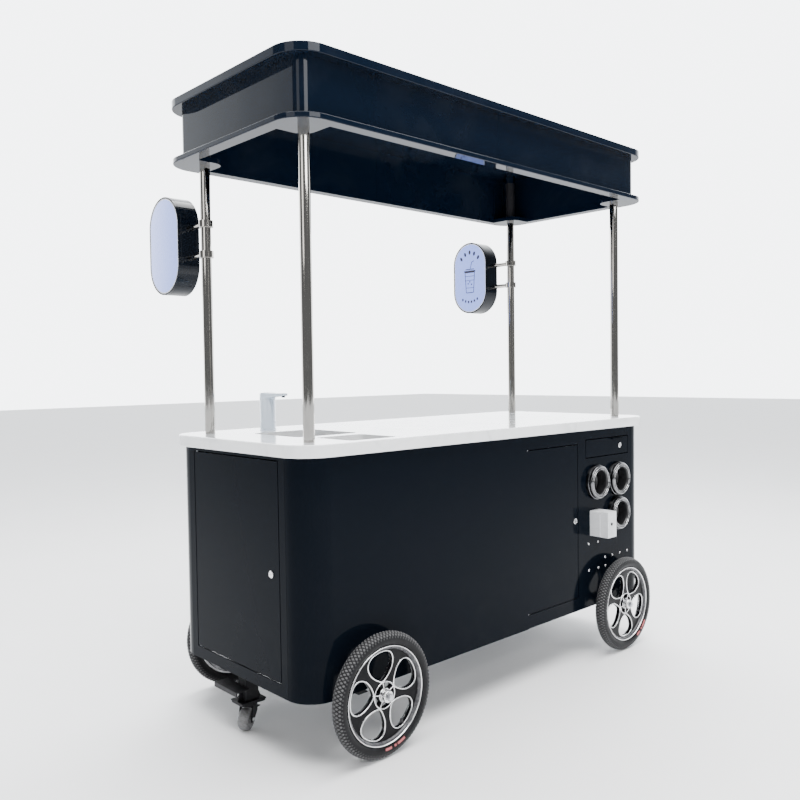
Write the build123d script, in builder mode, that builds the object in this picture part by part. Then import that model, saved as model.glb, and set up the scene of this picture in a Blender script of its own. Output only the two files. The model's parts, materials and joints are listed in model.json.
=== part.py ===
from build123d import *
import math
import os

# Push vending cart. Millimetres, +Z up, X along the cart's length. The front, with the drawer and the
# dispensers, is at -Y.
# The model is built about the middle of the body, then moved so that the origin is the bottom centre
# of its bounding box.

# ---- driving dimensions -------------------------------------------------------------------------
cart_length = 2000.0          # countertop and canopy slabs
cart_width = 840.0
slab_corner = 112.0           # plan corner radius of countertop and canopy slabs
counter_top = 1023.0
counter_thick = 41.0
counter_round = 4.0           # rounded upper edge
cart_height = 2239.0
roof_thick = 30.0
ring_top = 2030.0             # lower slab of the canopy
ring_thick = 18.0
ring_band_x = 52.0            # width of the lower slab's band at the ends
ring_band_y = 48.0            # the same along the front and back

body_length = 1960.0
body_width = 800.0
body_corner = 102.0
sheet = 2.0                   # steel sheet of every body panel
seam = 1.0                    # gap between neighbouring panels
recess = 4.0                  # how far the right front panel is set back
front_split_x = 107.0         # where the two front panels meet

wheel_diameter = 406.0
body_bottom = wheel_diameter / 2 + 9      # the body hangs just above the axles
tyre_section = 50.0
rim_radius = wheel_diameter / 2 - 45   # where the tyre is seated
rim_width = 36.0
wheel_x = 720.0
track = 906.0                 # between the wheel planes of the two sides
post_diameter = 38.0
post_wall = 1.5
post_x = 888.0
post_y = 306.0

# clearances
fit = 0.05                    # running fit, radial
gap = 0.4                     # between moving faces
ease = 0.3                    # post in slab holes, radial
weld_gap = 0.3                # between rails that are welded, and between seated pieces

# ---- values worked out from them ----------------------------------------------------------------
counter_bottom = counter_top - counter_thick
body_height = counter_bottom - body_bottom
ring_bottom = ring_top - ring_thick
roof_bottom = cart_height - roof_thick
wheel_r = wheel_diameter / 2
post_r = post_diameter / 2
half_l = body_length / 2
half_w = body_width / 2
panel_end_y = half_w - body_corner      # where the rounded corners start on the end faces
front_y = -half_w + recess              # outer face of the set-back front panel

# chassis
rail = 40.0
rail_wall = 2.5
rail_bottom = body_bottom + 10
rail_top = rail_bottom + rail
rail_y = 340.0
rail_end_x = 945.0
floor_thick = 3.0
floor_top = rail_top + floor_thick
floor_half_x = 955.0
floor_half_y = 374.0
caster_x = -908.0
caster_y = 48.0

# running gear
axle_r = 12.0
journal_r = 7.5
shoulder_r = 8.0
hub_half = 30.0
hub_r = 22.0
bearing_r = 17.5
bearing_width = 11.0
nut_width = 10.0
axle_end = track / 2 + hub_half + nut_width + 2
shoulder_end = track / 2 - hub_half - gap
bracket_y = 340.0
bracket_half = 15.0
bracket_length = 70.0
bracket_drop = 25.0           # below the axle centre

# signs
sign_width = 234.0
sign_height = 378.0
sign_depth = 90.0
sign_z = 1743.0
sign_gap = 110.0              # between post and sign casing
sign_wall = 3.0
arm_r = 10.0
arm_pitch = 112.0
sign_y = post_y + post_r + sign_gap + sign_width / 2

front_reach = axle_end
rear_reach = sign_y + sign_width / 2
shift = -(rear_reach - front_reach) / 2   # moves the middle of the bounding box to Y = 0

sides = (-1, 1)
corners = [(x, y) for x in sides for y in sides]
post_spots = [(post_x * x, post_y * y) for x, y in corners]

os.makedirs("parts", exist_ok=True)


def save(piece, label):
    """Label a finished piece, move it to the cart's frame and write it."""
    piece.part.label = label
    piece.part.position = (0, shift, 0)
    export_step(piece.part, f"parts/{label}.step")


def front_plane(y):
    """Upright plane facing the front: sketch X and Y are the cart's X and Z."""
    return Plane(origin=(0, y, 0), x_dir=(1, 0, 0), z_dir=(0, -1, 0))


def side_plane(x):
    """Upright plane facing +X: sketch X and Y are the cart's Y and Z."""
    return Plane(origin=(x, 0, 0), x_dir=(0, 1, 0), z_dir=(1, 0, 0))


# ---- chassis ------------------------------------------------------------------------------------
cross_rail_x = (caster_x, -wheel_x, 0.0, wheel_x, rail_end_x - rail / 2)
cross_half = rail_y - rail / 2 - weld_gap
rail_z = rail_bottom + rail / 2
rail_inside = rail - 2 * rail_wall
with BuildPart() as chassis:
    with BuildSketch(side_plane(-rail_end_x)):
        with Locations((-rail_y, rail_z), (rail_y, rail_z)):
            Rectangle(rail, rail)
            Rectangle(rail_inside, rail_inside, mode=Mode.SUBTRACT)
    extrude(amount=2 * rail_end_x)
    with BuildSketch(front_plane(cross_half)):
        with Locations([(x, rail_z) for x in cross_rail_x]):
            Rectangle(rail, rail)
            Rectangle(rail_inside, rail_inside, mode=Mode.SUBTRACT)
    extrude(amount=2 * cross_half)
save(chassis, "chassis")

bracket_top = rail_bottom
bracket_foot = wheel_r - bracket_drop
with BuildPart() as axle_brackets:
    for side in sides:
        for end in sides:
            x = end * wheel_x
            half = bracket_length / 2
            with BuildSketch(front_plane(side * bracket_y + bracket_half)):
                with BuildLine():
                    Polyline((x - half, bracket_top), (x + half, bracket_top), (x + half, wheel_r),
                             (x + half - 15, bracket_foot), (x - half + 15, bracket_foot),
                             (x - half, wheel_r), close=True)
                make_face()
                with Locations((x, wheel_r)):
                    Circle(axle_r + fit, mode=Mode.SUBTRACT)
            extrude(amount=2 * bracket_half)
save(axle_brackets, "axle_brackets")

with BuildPart() as floor_panel:
    with BuildSketch(Plane.XY.offset(rail_top)):
        RectangleRounded(2 * floor_half_x, 2 * floor_half_y, body_corner - 25)
    extrude(amount=floor_thick)
save(floor_panel, "floor_panel")

# ---- axles and wheels ---------------------------------------------------------------------------
axle_steps = ((axle_r, bracket_y + bracket_half + 2), (shoulder_r, shoulder_end),
              (journal_r, axle_end))
with BuildPart() as axles:
    for radius, reach in axle_steps:
        with BuildSketch(front_plane(reach)):
            with Locations((-wheel_x, wheel_r), (wheel_x, wheel_r)):
                Circle(radius)
        extrude(amount=2 * reach)
save(axles, "axles")

nut_start = track / 2 + hub_half + gap
nut_r = 12.0
with BuildPart() as axle_nuts:
    for plane in (front_plane(-nut_start), front_plane(nut_start + nut_width)):
        with BuildSketch(plane):
            with Locations((-wheel_x, wheel_r), (wheel_x, wheel_r)):
                RegularPolygon(nut_r, 6)
                Circle(journal_r, mode=Mode.SUBTRACT)
        extrude(amount=nut_width)
save(axle_nuts, "axle_nuts")


def wheel_plane(x, side, out=0.0):
    """Plane through a wheel, seen from outside the cart."""
    return Plane(origin=(x, side * (track / 2 + out), wheel_r), x_dir=(side, 0, 0), z_dir=(0, side, 0))


def ring_plane(x, side):
    """Plane through the wheel's axis: sketch X is the radius, sketch Y the outward axis."""
    return Plane(origin=(x, side * track / 2, wheel_r), x_dir=(1, 0, 0), z_dir=(0, 0, side))


def tyre(x, side):
    """Hollow tyre: a round section opened where it sits on the rim."""
    section_r = tyre_section / 2
    middle = wheel_r - section_r
    with BuildPart() as made:
        with BuildSketch(ring_plane(x, side)):
            with Locations((middle, 0)):
                Circle(section_r)
                Circle(section_r - 4, mode=Mode.SUBTRACT)
            with Locations((rim_radius - 20, 0)):
                Rectangle(40, tyre_section, mode=Mode.SUBTRACT)
        revolve(axis=Axis((x, 0, wheel_r), (0, 1, 0)))
    return made


spoke_count = 5
spoke_thick = 16.0
opening_tip = 47.0            # radius at which each opening comes to its point
opening_end = rim_radius - 14         # and radius of its wide end
opening_spread = 28.5         # degrees to each side of its middle line
opening_start = 98.0          # direction of the first opening
opening_points = 40


def opening_outline():
    """Teardrop: the radius swings from the wide end to the tip as the angle swings to each side."""
    points = []
    for number in range(opening_points):
        turn = math.tau * number / opening_points
        radius = (opening_end + opening_tip) / 2 + (opening_end - opening_tip) / 2 * math.cos(turn)
        fullness = 0.6 if math.cos(turn) > 0 else 1.0
        swing = math.copysign(abs(math.sin(turn)) ** fullness, math.sin(turn))
        angle = math.radians(opening_spread * swing)
        points.append((radius * math.cos(angle), radius * math.sin(angle)))
    return points


def rim(x, side):
    """Cast wheel: barrel and a disc with five teardrop openings."""
    with BuildPart() as made:
        with BuildSketch(wheel_plane(x, side, -rim_width / 2)):
            Circle(rim_radius)
            Circle(rim_radius - 10, mode=Mode.SUBTRACT)
        extrude(amount=rim_width)
        with BuildSketch(wheel_plane(x, side, -spoke_thick / 2)):
            Circle(rim_radius - 5)
            Circle(hub_r, mode=Mode.SUBTRACT)
            with PolarLocations(0, spoke_count, opening_start):
                Polygon(*opening_outline(), align=None, mode=Mode.SUBTRACT)
        extrude(amount=spoke_thick)
    return made


def hub(x, side):
    """Hub shell with a ball bearing at each end, all separate solids."""
    with BuildPart() as made:
        with BuildSketch(wheel_plane(x, side, -hub_half + bearing_width)):
            Circle(hub_r)
            Circle(journal_r + 6, mode=Mode.SUBTRACT)
        extrude(amount=2 * (hub_half - bearing_width))
        for start in (-hub_half, hub_half - bearing_width):
            with BuildSketch(wheel_plane(x, side, start)):
                Circle(hub_r)
                Circle(bearing_r, mode=Mode.SUBTRACT)
            extrude(amount=bearing_width)
        for start in (-hub_half, hub_half - bearing_width + weld_gap):
            with BuildSketch(wheel_plane(x, side, start)):
                Circle(bearing_r - fit)
                Circle(journal_r + fit, mode=Mode.SUBTRACT)
            extrude(amount=bearing_width - weld_gap)
    return made


for side, side_name in ((-1, "front"), (1, "rear")):
    for end, end_name in ((-1, "left"), (1, "right")):
        spot = f"{side_name}_{end_name}"
        save(tyre(end * wheel_x, side), f"tyre_{spot}")
        save(rim(end * wheel_x, side), f"rim_{spot}")
        save(hub(end * wheel_x, side), f"hub_{spot}")

# ---- caster -------------------------------------------------------------------------------------
caster_height = 97.0
caster_wheel_r = 37.0
caster_wheel_width = 40.0
caster_trail = 24.0
caster_heading = 214.0        # degrees from X of the way the caster trails as drawn
caster_plate = 98.0           # along X
caster_plate_y = 74.0
plate_thick = 5.0
race_r = 28.0
race_height = 8.0
kingpin_r = 6.0
cheek = 3.0
cheek_y = caster_wheel_width / 2 + 2.5
fork_top = caster_height - plate_thick - race_height - gap
fork_plate = 5.0
bolt_r = 4.0
bolt_head = 6.0
pedal_in = 10.0               # brake pivot behind the swivel axis
pedal_z = 66.0
pedal_r = 2.5

leg_outer = 50.0
leg_wall = 3.0
gusset_height = 60.0
leg_plate_top = caster_height + plate_thick
step_z = 150.0                # foot step welded to the leg
step_thick = 4.0
step_end_x = -986.0
step_low_y, step_high_y = 0.0, 146.0
step_lip = 12.0


def fork_plane(out):
    """Upright plane along the way the caster trails: sketch X runs back from the swivel axis."""
    along_x, along_y = math.cos(math.radians(caster_heading)), math.sin(math.radians(caster_heading))
    return Plane(origin=(caster_x - out * along_y, caster_y + out * along_x, 0),
                 x_dir=(along_x, along_y, 0), z_dir=(along_y, -along_x, 0))


with BuildPart() as caster_leg:
    with BuildSketch(Plane.XY.offset(caster_height)):
        with Locations((caster_x, caster_y)):
            Rectangle(caster_plate, caster_plate_y)
    extrude(amount=plate_thick)
    with BuildSketch(Plane.XY.offset(caster_height)):
        with Locations((caster_x, caster_y)):
            Rectangle(leg_outer, leg_outer)
            Rectangle(leg_outer - 2 * leg_wall, leg_outer - 2 * leg_wall, mode=Mode.SUBTRACT)
    extrude(amount=rail_bottom - caster_height)
    with BuildSketch(front_plane(caster_y + leg_wall)):
        for side in sides:
            root = caster_x + side * (leg_outer / 2 - 1)
            tip = caster_x + side * (caster_plate / 2 - 2)
            with BuildLine():
                Polyline((root, leg_plate_top), (tip, leg_plate_top),
                         (root, leg_plate_top + gusset_height), close=True)
            make_face()
    extrude(amount=2 * leg_wall)
    step_root_x = caster_x - leg_outer / 2 + 1
    for reach, low, high in ((step_root_x - step_end_x, step_z, step_z + step_thick),
                             (step_thick, step_z - step_lip, step_z + 1)):
        with BuildSketch(Plane.XY.offset(low)):
            with Locations((step_end_x + reach / 2, (step_low_y + step_high_y) / 2)):
                Rectangle(reach, step_high_y - step_low_y)
        extrude(amount=high - low)
save(caster_leg, "caster_leg")

with BuildPart() as caster_head:
    with BuildSketch(Plane.XY.offset(caster_height - plate_thick)):
        with Locations((caster_x, caster_y)):
            RectangleRounded(caster_plate, caster_plate_y, 8)
            Circle(kingpin_r + fit, mode=Mode.SUBTRACT)
    extrude(amount=plate_thick)
    with BuildSketch(Plane.XY.offset(caster_height - plate_thick)):
        with Locations((caster_x, caster_y)):
            Circle(race_r)
            Circle(kingpin_r + fit, mode=Mode.SUBTRACT)
    extrude(amount=-race_height)
save(caster_head, "caster_plate")

cheek_foot = caster_wheel_r - 9
cheek_out = cheek_y + cheek
crown_length = 36.0
with BuildPart() as caster_fork:
    with BuildSketch(Plane.XY.offset(fork_top - fork_plate)):
        with Locations((caster_x, caster_y)):
            Circle(race_r)
            Rectangle(crown_length, 2 * cheek_out, rotation=caster_heading)
    extrude(amount=fork_plate)
    with BuildSketch(Plane.XY.offset(fork_top)):
        with Locations((caster_x, caster_y)):
            Circle(kingpin_r)
    extrude(amount=race_height + gap + plate_thick - 1)
    for out in (-cheek_y, cheek_out):
        with BuildSketch(fork_plane(out)):
            with BuildLine():
                Polyline((-crown_length / 2, fork_top - 1), (crown_length / 2, fork_top - 1),
                         (caster_trail + 10, caster_wheel_r + 6), (caster_trail + 8, cheek_foot),
                         (caster_trail - 8, cheek_foot), (-crown_length / 2, fork_top - 28), close=True)
            make_face()
            with Locations((caster_trail, caster_wheel_r)):
                Circle(bolt_r, mode=Mode.SUBTRACT)
            with Locations((-pedal_in, pedal_z)):
                Circle(pedal_r + fit, mode=Mode.SUBTRACT)
        extrude(amount=cheek)
save(caster_fork, "caster_fork")

with BuildPart() as caster_axle:
    with BuildSketch(fork_plane(cheek_out + bolt_head)):
        with Locations((caster_trail, caster_wheel_r)):
            Circle(bolt_r)
    extrude(amount=2 * (cheek_out + bolt_head))
    for out in (-cheek_out, cheek_out + bolt_head):
        with BuildSketch(fork_plane(out)):
            with Locations((caster_trail, caster_wheel_r)):
                RegularPolygon(7.0, 6)
        extrude(amount=bolt_head)
save(caster_axle, "caster_axle")

with BuildPart() as caster_wheel:
    with BuildSketch(fork_plane(0)):
        with Locations((caster_trail, caster_wheel_r)):
            Circle(caster_wheel_r)
    extrude(amount=caster_wheel_width / 2, both=True)
    fillet(caster_wheel.edges().filter_by(GeomType.CIRCLE), 5)
    with BuildSketch(fork_plane(0)):
        with Locations((caster_trail, caster_wheel_r)):
            Circle(bolt_r + fit)
    extrude(amount=caster_wheel_width, both=True, mode=Mode.SUBTRACT)
save(caster_wheel, "caster_wheel")

pedal_reach = 40.0
with BuildPart() as caster_brake:
    with BuildSketch(fork_plane(cheek_out + 2)):
        with Locations((-pedal_in, pedal_z)):
            Circle(pedal_r)
    extrude(amount=2 * (cheek_out + 2))
    with BuildSketch(fork_plane(cheek_y - gap)):
        with BuildLine():
            x = -pedal_in
            Polyline((x + 5, pedal_z - 4), (x + 5, pedal_z + 4), (x - 8, pedal_z + 5),
                     (x - pedal_reach, pedal_z - 6), (x - pedal_reach, pedal_z - 10),
                     (x - 8, pedal_z - 4), close=True)
        make_face()
    extrude(amount=2 * (cheek_y - gap))
save(caster_brake, "caster_brake")

# ---- body panels --------------------------------------------------------------------------------
door_depth = 16.0             # depth of the folded edges of doors and drawer front
hinge_gap = 5.0
door_gap = 4.0
pivot_inset = 8.0             # pivot axis from the door's edge
pivot_depth = 6.0             # and behind its face
pivot_r = 3.0
pivot_block = 12.0
lock_r = 9.0

front_door_width = 342.0
front_door_height = 652.0
front_door_x = front_split_x + hinge_gap
front_door_z = 270.0
end_door_width = 520.0
end_door_height = 707.0
end_door_y = 260.0
end_door_z = 258.0
drawer_width = 331.0
drawer_height = 75.0
drawer_x = 519.0
drawer_z = 862.0

cup_spots = [(590.0, 752.0), (757.0, 752.0), (757.0, 597.0)]   # X and Z of the three dispensers
cup_tube_r = 52.0
cup_tube_wall = 2.0
cup_tube_length = 420.0
bolt_spots = [(534, 487), (606, 487), (661, 410), (721, 410), (782, 410), (842, 410),
              (536, 371), (608, 371), (664, 371)]              # X and Z of the panel bolts
panel_bolt_r = 3.0


def body_strip(length, width, corner, mid, size):
    """Sheet in plan: the ring of a rounded rectangle, kept only inside one rectangle."""
    with BuildPart() as made:
        with BuildSketch(Plane.XY.offset(body_bottom)):
            RectangleRounded(length, width, corner)
            RectangleRounded(length - 2 * sheet, width - 2 * sheet, corner - sheet, mode=Mode.SUBTRACT)
            with Locations(mid):
                Rectangle(*size, mode=Mode.INTERSECT)
        extrude(amount=body_height)
    return made


strip_depth = half_w - panel_end_y
left_reach = half_l + front_split_x
right_reach = half_l - front_split_x - seam
front_mid_y = -(panel_end_y + strip_depth / 2)
front_left_panel = body_strip(body_length, body_width, body_corner,
                              (front_split_x - left_reach / 2, front_mid_y), (left_reach, strip_depth))
save(front_left_panel, "front_left_panel")

drawer_mid = (drawer_x + drawer_width / 2, drawer_z + drawer_height / 2)
opening_right = front_door_x + front_door_width + door_gap
opening_left = front_split_x - 10
door_mid_z = front_door_z + front_door_height / 2
front_plan = body_strip(body_length, body_width - 2 * recess, body_corner - recess,
                        (front_split_x + seam + right_reach / 2, front_mid_y), (right_reach, strip_depth))
with BuildPart() as front_right_panel:
    add(front_plan.part)
    with BuildSketch(front_plane(front_y + 2 * sheet)):
        with Locations(((opening_left + opening_right) / 2, door_mid_z)):
            Rectangle(opening_right - opening_left, front_door_height + 2 * door_gap)
        with Locations(drawer_mid):
            Rectangle(drawer_width + 2 * door_gap, drawer_height + 2 * door_gap)
        with Locations(cup_spots):
            Circle(cup_tube_r + ease)
        with Locations(bolt_spots):
            Circle(panel_bolt_r + fit)
    extrude(amount=4 * sheet, mode=Mode.SUBTRACT)
save(front_right_panel, "front_right_panel")

end_span = 2 * (panel_end_y - seam)
end_strip = 50.0
end_size = (end_strip, end_span)
end_mid_x = half_l - end_strip / 2
left_plan = body_strip(body_length, body_width, body_corner, (-end_mid_x, 0), end_size)
right_plan = body_strip(body_length, body_width, body_corner, (end_mid_x, 0), end_size)
opening_low_y = end_door_y - end_door_width - door_gap
opening_high_y = end_door_y + hinge_gap
with BuildPart() as end_panels:
    add(left_plan.part)
    with BuildSketch(side_plane(-half_l - sheet)):
        with Locations(((opening_low_y + opening_high_y) / 2, end_door_z + end_door_height / 2)):
            Rectangle(opening_high_y - opening_low_y, end_door_height + 2 * door_gap)
    extrude(amount=3 * sheet, mode=Mode.SUBTRACT)
    add(right_plan.part)
save(end_panels, "end_panels")

rear_panel = body_strip(body_length, body_width, body_corner, (0, -front_mid_y), (body_length, strip_depth))
save(rear_panel, "rear_panel")

# ---- doors and locks ----------------------------------------------------------------------------
front_door_plane = Plane(origin=(front_door_x, front_y, front_door_z), x_dir=(1, 0, 0), z_dir=(0, -1, 0))
end_door_plane = Plane(origin=(-half_l, end_door_y, end_door_z), x_dir=(0, -1, 0), z_dir=(-1, 0, 0))
drawer_plane = Plane(origin=(drawer_x, front_y, drawer_z), x_dir=(1, 0, 0), z_dir=(0, -1, 0))
lock_z = 600.0                # height of both door locks
lock_edge = 21.0              # from the front door's free edge
end_lock_edge = 42.0
front_lock = (front_door_width - lock_edge, lock_z - front_door_z)
end_lock = (end_door_width - end_lock_edge, lock_z - end_door_z)
drawer_lock_spot = (263.0, drawer_height / 2 - 0.5)
boss = 14.0


def pan(plane, width, height, lock_spot):
    """Sheet front with folded edges and a hole for the cam lock. The plane lies on its face."""
    with BuildPart() as made:
        with BuildSketch(plane):
            with Locations((width / 2, height / 2)):
                Rectangle(width, height)
        extrude(amount=-door_depth)
        with BuildSketch(plane.offset(-sheet)):
            with Locations((width / 2, height / 2)):
                Rectangle(width - 2 * sheet, height - 2 * sheet)
        extrude(amount=-door_depth, mode=Mode.SUBTRACT)
        with BuildSketch(plane):
            with Locations(lock_spot):
                Circle(lock_r + 3)
        extrude(amount=-door_depth + 2)
        with BuildSketch(plane):
            with Locations(lock_spot):
                Circle(lock_r + fit)
        extrude(amount=-door_depth, mode=Mode.SUBTRACT)
    return made


def door(plane, width, height, lock_spot):
    """Pan door with a drilled boss for the pivot pin at the top and the bottom of its hinge edge."""
    blank = pan(plane, width, height, lock_spot)
    axis = plane.from_local_coords((pivot_inset, 0, -pivot_depth))
    with BuildPart() as made:
        add(blank.part)
        with BuildSketch(plane.offset(-sheet / 2)):
            for middle in (boss / 2, height - boss / 2):
                with Locations((boss / 2 + 1, middle)):
                    Rectangle(boss, boss)
        extrude(amount=-pivot_depth * 2 + sheet)
        with BuildSketch(Plane.XY.offset(plane.origin.Z - 1)):
            with Locations((axis.X, axis.Y)):
                Circle(pivot_r + fit)
        extrude(amount=height + 2, mode=Mode.SUBTRACT)
    return made


end_door = door(end_door_plane, end_door_width, end_door_height, end_lock)
save(end_door, "end_door")
front_door = door(front_door_plane, front_door_width, front_door_height, front_lock)
save(front_door, "front_door")

pin_reach = 10.0
with BuildPart() as door_pivots:
    for plane, height in ((end_door_plane, end_door_height), (front_door_plane, front_door_height)):
        axis = plane.from_local_coords((pivot_inset, 0, -pivot_depth))
        with BuildSketch(plane.offset(-sheet)):
            with Locations((pivot_inset, height + door_gap + pivot_block / 2),
                           (pivot_inset, -door_gap - pivot_block / 2)):
                Rectangle(2 * pivot_block, pivot_block)
        extrude(amount=-pivot_block)
        low = plane.origin.Z - door_gap
        high = plane.origin.Z + height - pin_reach
        for base, length in ((low - 5, door_gap + pin_reach + 5), (high, door_gap + pin_reach + 5)):
            with BuildSketch(Plane.XY.offset(base)):
                with Locations((axis.X, axis.Y)):
                    Circle(pivot_r)
            extrude(amount=length)
save(door_pivots, "door_pivots")

cam_width = 14.0
cam_thick = 3.0
cam_back = door_depth + 1.5
lock_head = 2.6


def cam_lock(plane, spot, reach, direction):
    """Lock plug with a round head and a cam at its back, which points along direction at rest."""
    u, v = spot
    with BuildPart() as made:
        with BuildSketch(plane.offset(gap)):
            with Locations(spot):
                Circle(lock_r + 3)
        extrude(amount=lock_head)
        with BuildSketch(plane.offset(gap)):
            with Locations(spot):
                Circle(lock_r)
        extrude(amount=-cam_back - gap - cam_thick)
        with BuildSketch(plane.offset(-cam_back)):
            with Locations((u + direction[0] * reach / 2, v + direction[1] * reach / 2)):
                if direction[0]:
                    Rectangle(reach, cam_width)
                else:
                    Rectangle(cam_width, reach)
        extrude(amount=-cam_thick)
        with BuildSketch(plane.offset(gap + lock_head)):
            with Locations(spot):
                Rectangle(2, 9)
        extrude(amount=-1.5, mode=Mode.SUBTRACT)
    return made


catch = 14.0                  # how far a turned cam reaches behind the panel
front_cam_reach = front_door_width - front_lock[0] + door_gap + catch
end_cam_reach = end_door_width - end_lock[0] + door_gap + catch
drawer_cam_reach = drawer_height - drawer_lock_spot[1] + door_gap + catch
save(cam_lock(end_door_plane, end_lock, end_cam_reach, (0, -1)), "end_door_lock")
save(cam_lock(front_door_plane, front_lock, front_cam_reach, (0, -1)), "front_door_lock")
save(cam_lock(drawer_plane, drawer_lock_spot, drawer_cam_reach, (-1, 0)), "drawer_lock")

# ---- drawer -------------------------------------------------------------------------------------
drawer_wall = 1.5
drawer_side_gap = 16.0        # box inside the front's width, each side
drawer_length = 420.0
drawer_box_height = 55.0
runner = 8.0
runner_thick = 3.0
pull_width = 91.0
pull_out = 12.0
pull_x = 757.0

drawer_blank = pan(drawer_plane, drawer_width, drawer_height, drawer_lock_spot)
with BuildPart() as drawer_front:
    add(drawer_blank.part)
    with BuildSketch(front_plane(front_y)):
        with Locations((pull_x, drawer_z + drawer_height - 5)):
            Rectangle(pull_width, 3)
    extrude(amount=pull_out)
save(drawer_front, "drawer_front")

box_left = drawer_x + drawer_side_gap
box_width = drawer_width - 2 * drawer_side_gap
box_start = front_y + door_depth
box_low = drawer_z + 6
box_mid_x = drawer_x + drawer_width / 2
box_front_wall = box_start + 10
runner_z = box_low + drawer_box_height - 14
with BuildPart() as drawer_box:
    with BuildSketch(front_plane(box_start + drawer_length)):
        with Locations((box_mid_x, box_low + drawer_box_height / 2)):
            Rectangle(box_width, drawer_box_height)
        with Locations((box_mid_x, box_low + drawer_wall + drawer_box_height / 2)):
            Rectangle(box_width - 2 * drawer_wall, drawer_box_height, mode=Mode.SUBTRACT)
        with Locations((box_left - runner / 2, runner_z), (box_left + box_width + runner / 2, runner_z)):
            Rectangle(runner, runner_thick)
    extrude(amount=drawer_length)
    for wall_y in (box_front_wall, box_start + drawer_length - drawer_wall):
        with BuildSketch(front_plane(wall_y + drawer_wall)):
            with Locations((box_mid_x, box_low + drawer_box_height / 2)):
                Rectangle(box_width, drawer_box_height)
        extrude(amount=drawer_wall)
save(drawer_box, "drawer_box")

ledge_z = runner_z - runner_thick / 2 - gap
ledge = 3.0
with BuildPart() as slide_rails:
    for side in sides:
        edge = box_mid_x + side * (box_width / 2 + runner + gap)
        with BuildSketch(front_plane(box_start + drawer_length)):
            with Locations((edge + side * ledge / 2, (ledge_z - ledge + counter_bottom) / 2)):
                Rectangle(ledge, counter_bottom - ledge_z + ledge)
            with Locations((edge - side * (runner / 2 - 1), ledge_z - ledge / 2)):
                Rectangle(runner - 2, ledge)
        extrude(amount=drawer_length - 8)
save(slide_rails, "slide_rails")

# ---- inside of the body -------------------------------------------------------------------------
board = 12.0
board_half_y = 385.0
divider_x = (front_split_x - 6 - board / 2, 488.0)
shelf_z = 600.0
divider_height = counter_bottom - floor_top
with BuildPart() as inner_panels:
    with BuildSketch(Plane.XY.offset(floor_top)):
        with Locations((divider_x[0], 0), (divider_x[1], 0)):
            Rectangle(board, 2 * board_half_y - 40)
    extrude(amount=divider_height)
    with BuildSketch(Plane.XY.offset(shelf_z)):
        shelf_left = divider_x[0] + board / 2 + weld_gap
        shelf_right = divider_x[1] - board / 2 - weld_gap
        with Locations(((shelf_left + shelf_right) / 2, 8)):
            Rectangle(shelf_right - shelf_left, 2 * board_half_y - 60)
    extrude(amount=board)
save(inner_panels, "inner_panels")

# ---- cup dispensers -----------------------------------------------------------------------------
bezel_r = 75.0
bezel_mouth = 49.0
bezel_depth = 30.0
pusher_depth = 22.0
pusher_rest = 14.0            # pusher face behind the panel's face at rest

with BuildPart() as cup_tubes:
    with BuildSketch(front_plane(front_y + cup_tube_length)):
        with Locations(cup_spots):
            Circle(cup_tube_r)
    extrude(amount=cup_tube_length)
    with BuildSketch(front_plane(front_y + cup_tube_length - cup_tube_wall)):
        with Locations(cup_spots):
            Circle(cup_tube_r - cup_tube_wall)
    extrude(amount=cup_tube_length, mode=Mode.SUBTRACT)
save(cup_tubes, "cup_tubes")

with BuildPart() as cup_bezels:
    for x, z in cup_spots:
        with BuildSketch(Plane(origin=(x, front_y, z), x_dir=(1, 0, 0), z_dir=(0, 0, 1))):
            with BuildLine():
                flange = Line((bezel_mouth, 0), (bezel_r, 0))
                wall = Line(flange @ 1, (bezel_r, -15))
                shoulder = Line(wall @ 1, (bezel_r - 5, -15))
                rise = Line(shoulder @ 1, (bezel_r - 5, -22))
                crown = TangentArc(rise @ 1, (bezel_r - 13, -bezel_depth), tangent=(0, -1))
                lip = Line(crown @ 1, (bezel_mouth + 6, -bezel_depth + 3))
                Line(lip @ 1, (bezel_mouth, -bezel_depth + 9))
                Line((bezel_mouth, -bezel_depth + 9), flange @ 0)
            make_face()
        revolve(axis=Axis((x, 0, z), (0, 1, 0)))
save(cup_bezels, "cup_bezels")

for number, (x, z) in enumerate(cup_spots, start=1):
    with BuildPart() as cup_pusher:
        with BuildSketch(front_plane(front_y + pusher_rest + pusher_depth)):
            with Locations((x, z)):
                Circle(cup_tube_r - cup_tube_wall - gap)
        extrude(amount=pusher_depth)
        fillet(cup_pusher.edges().filter_by(GeomType.CIRCLE).sort_by(Axis.Y)[0], 12)
    save(cup_pusher, f"cup_pusher_{number}")

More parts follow.
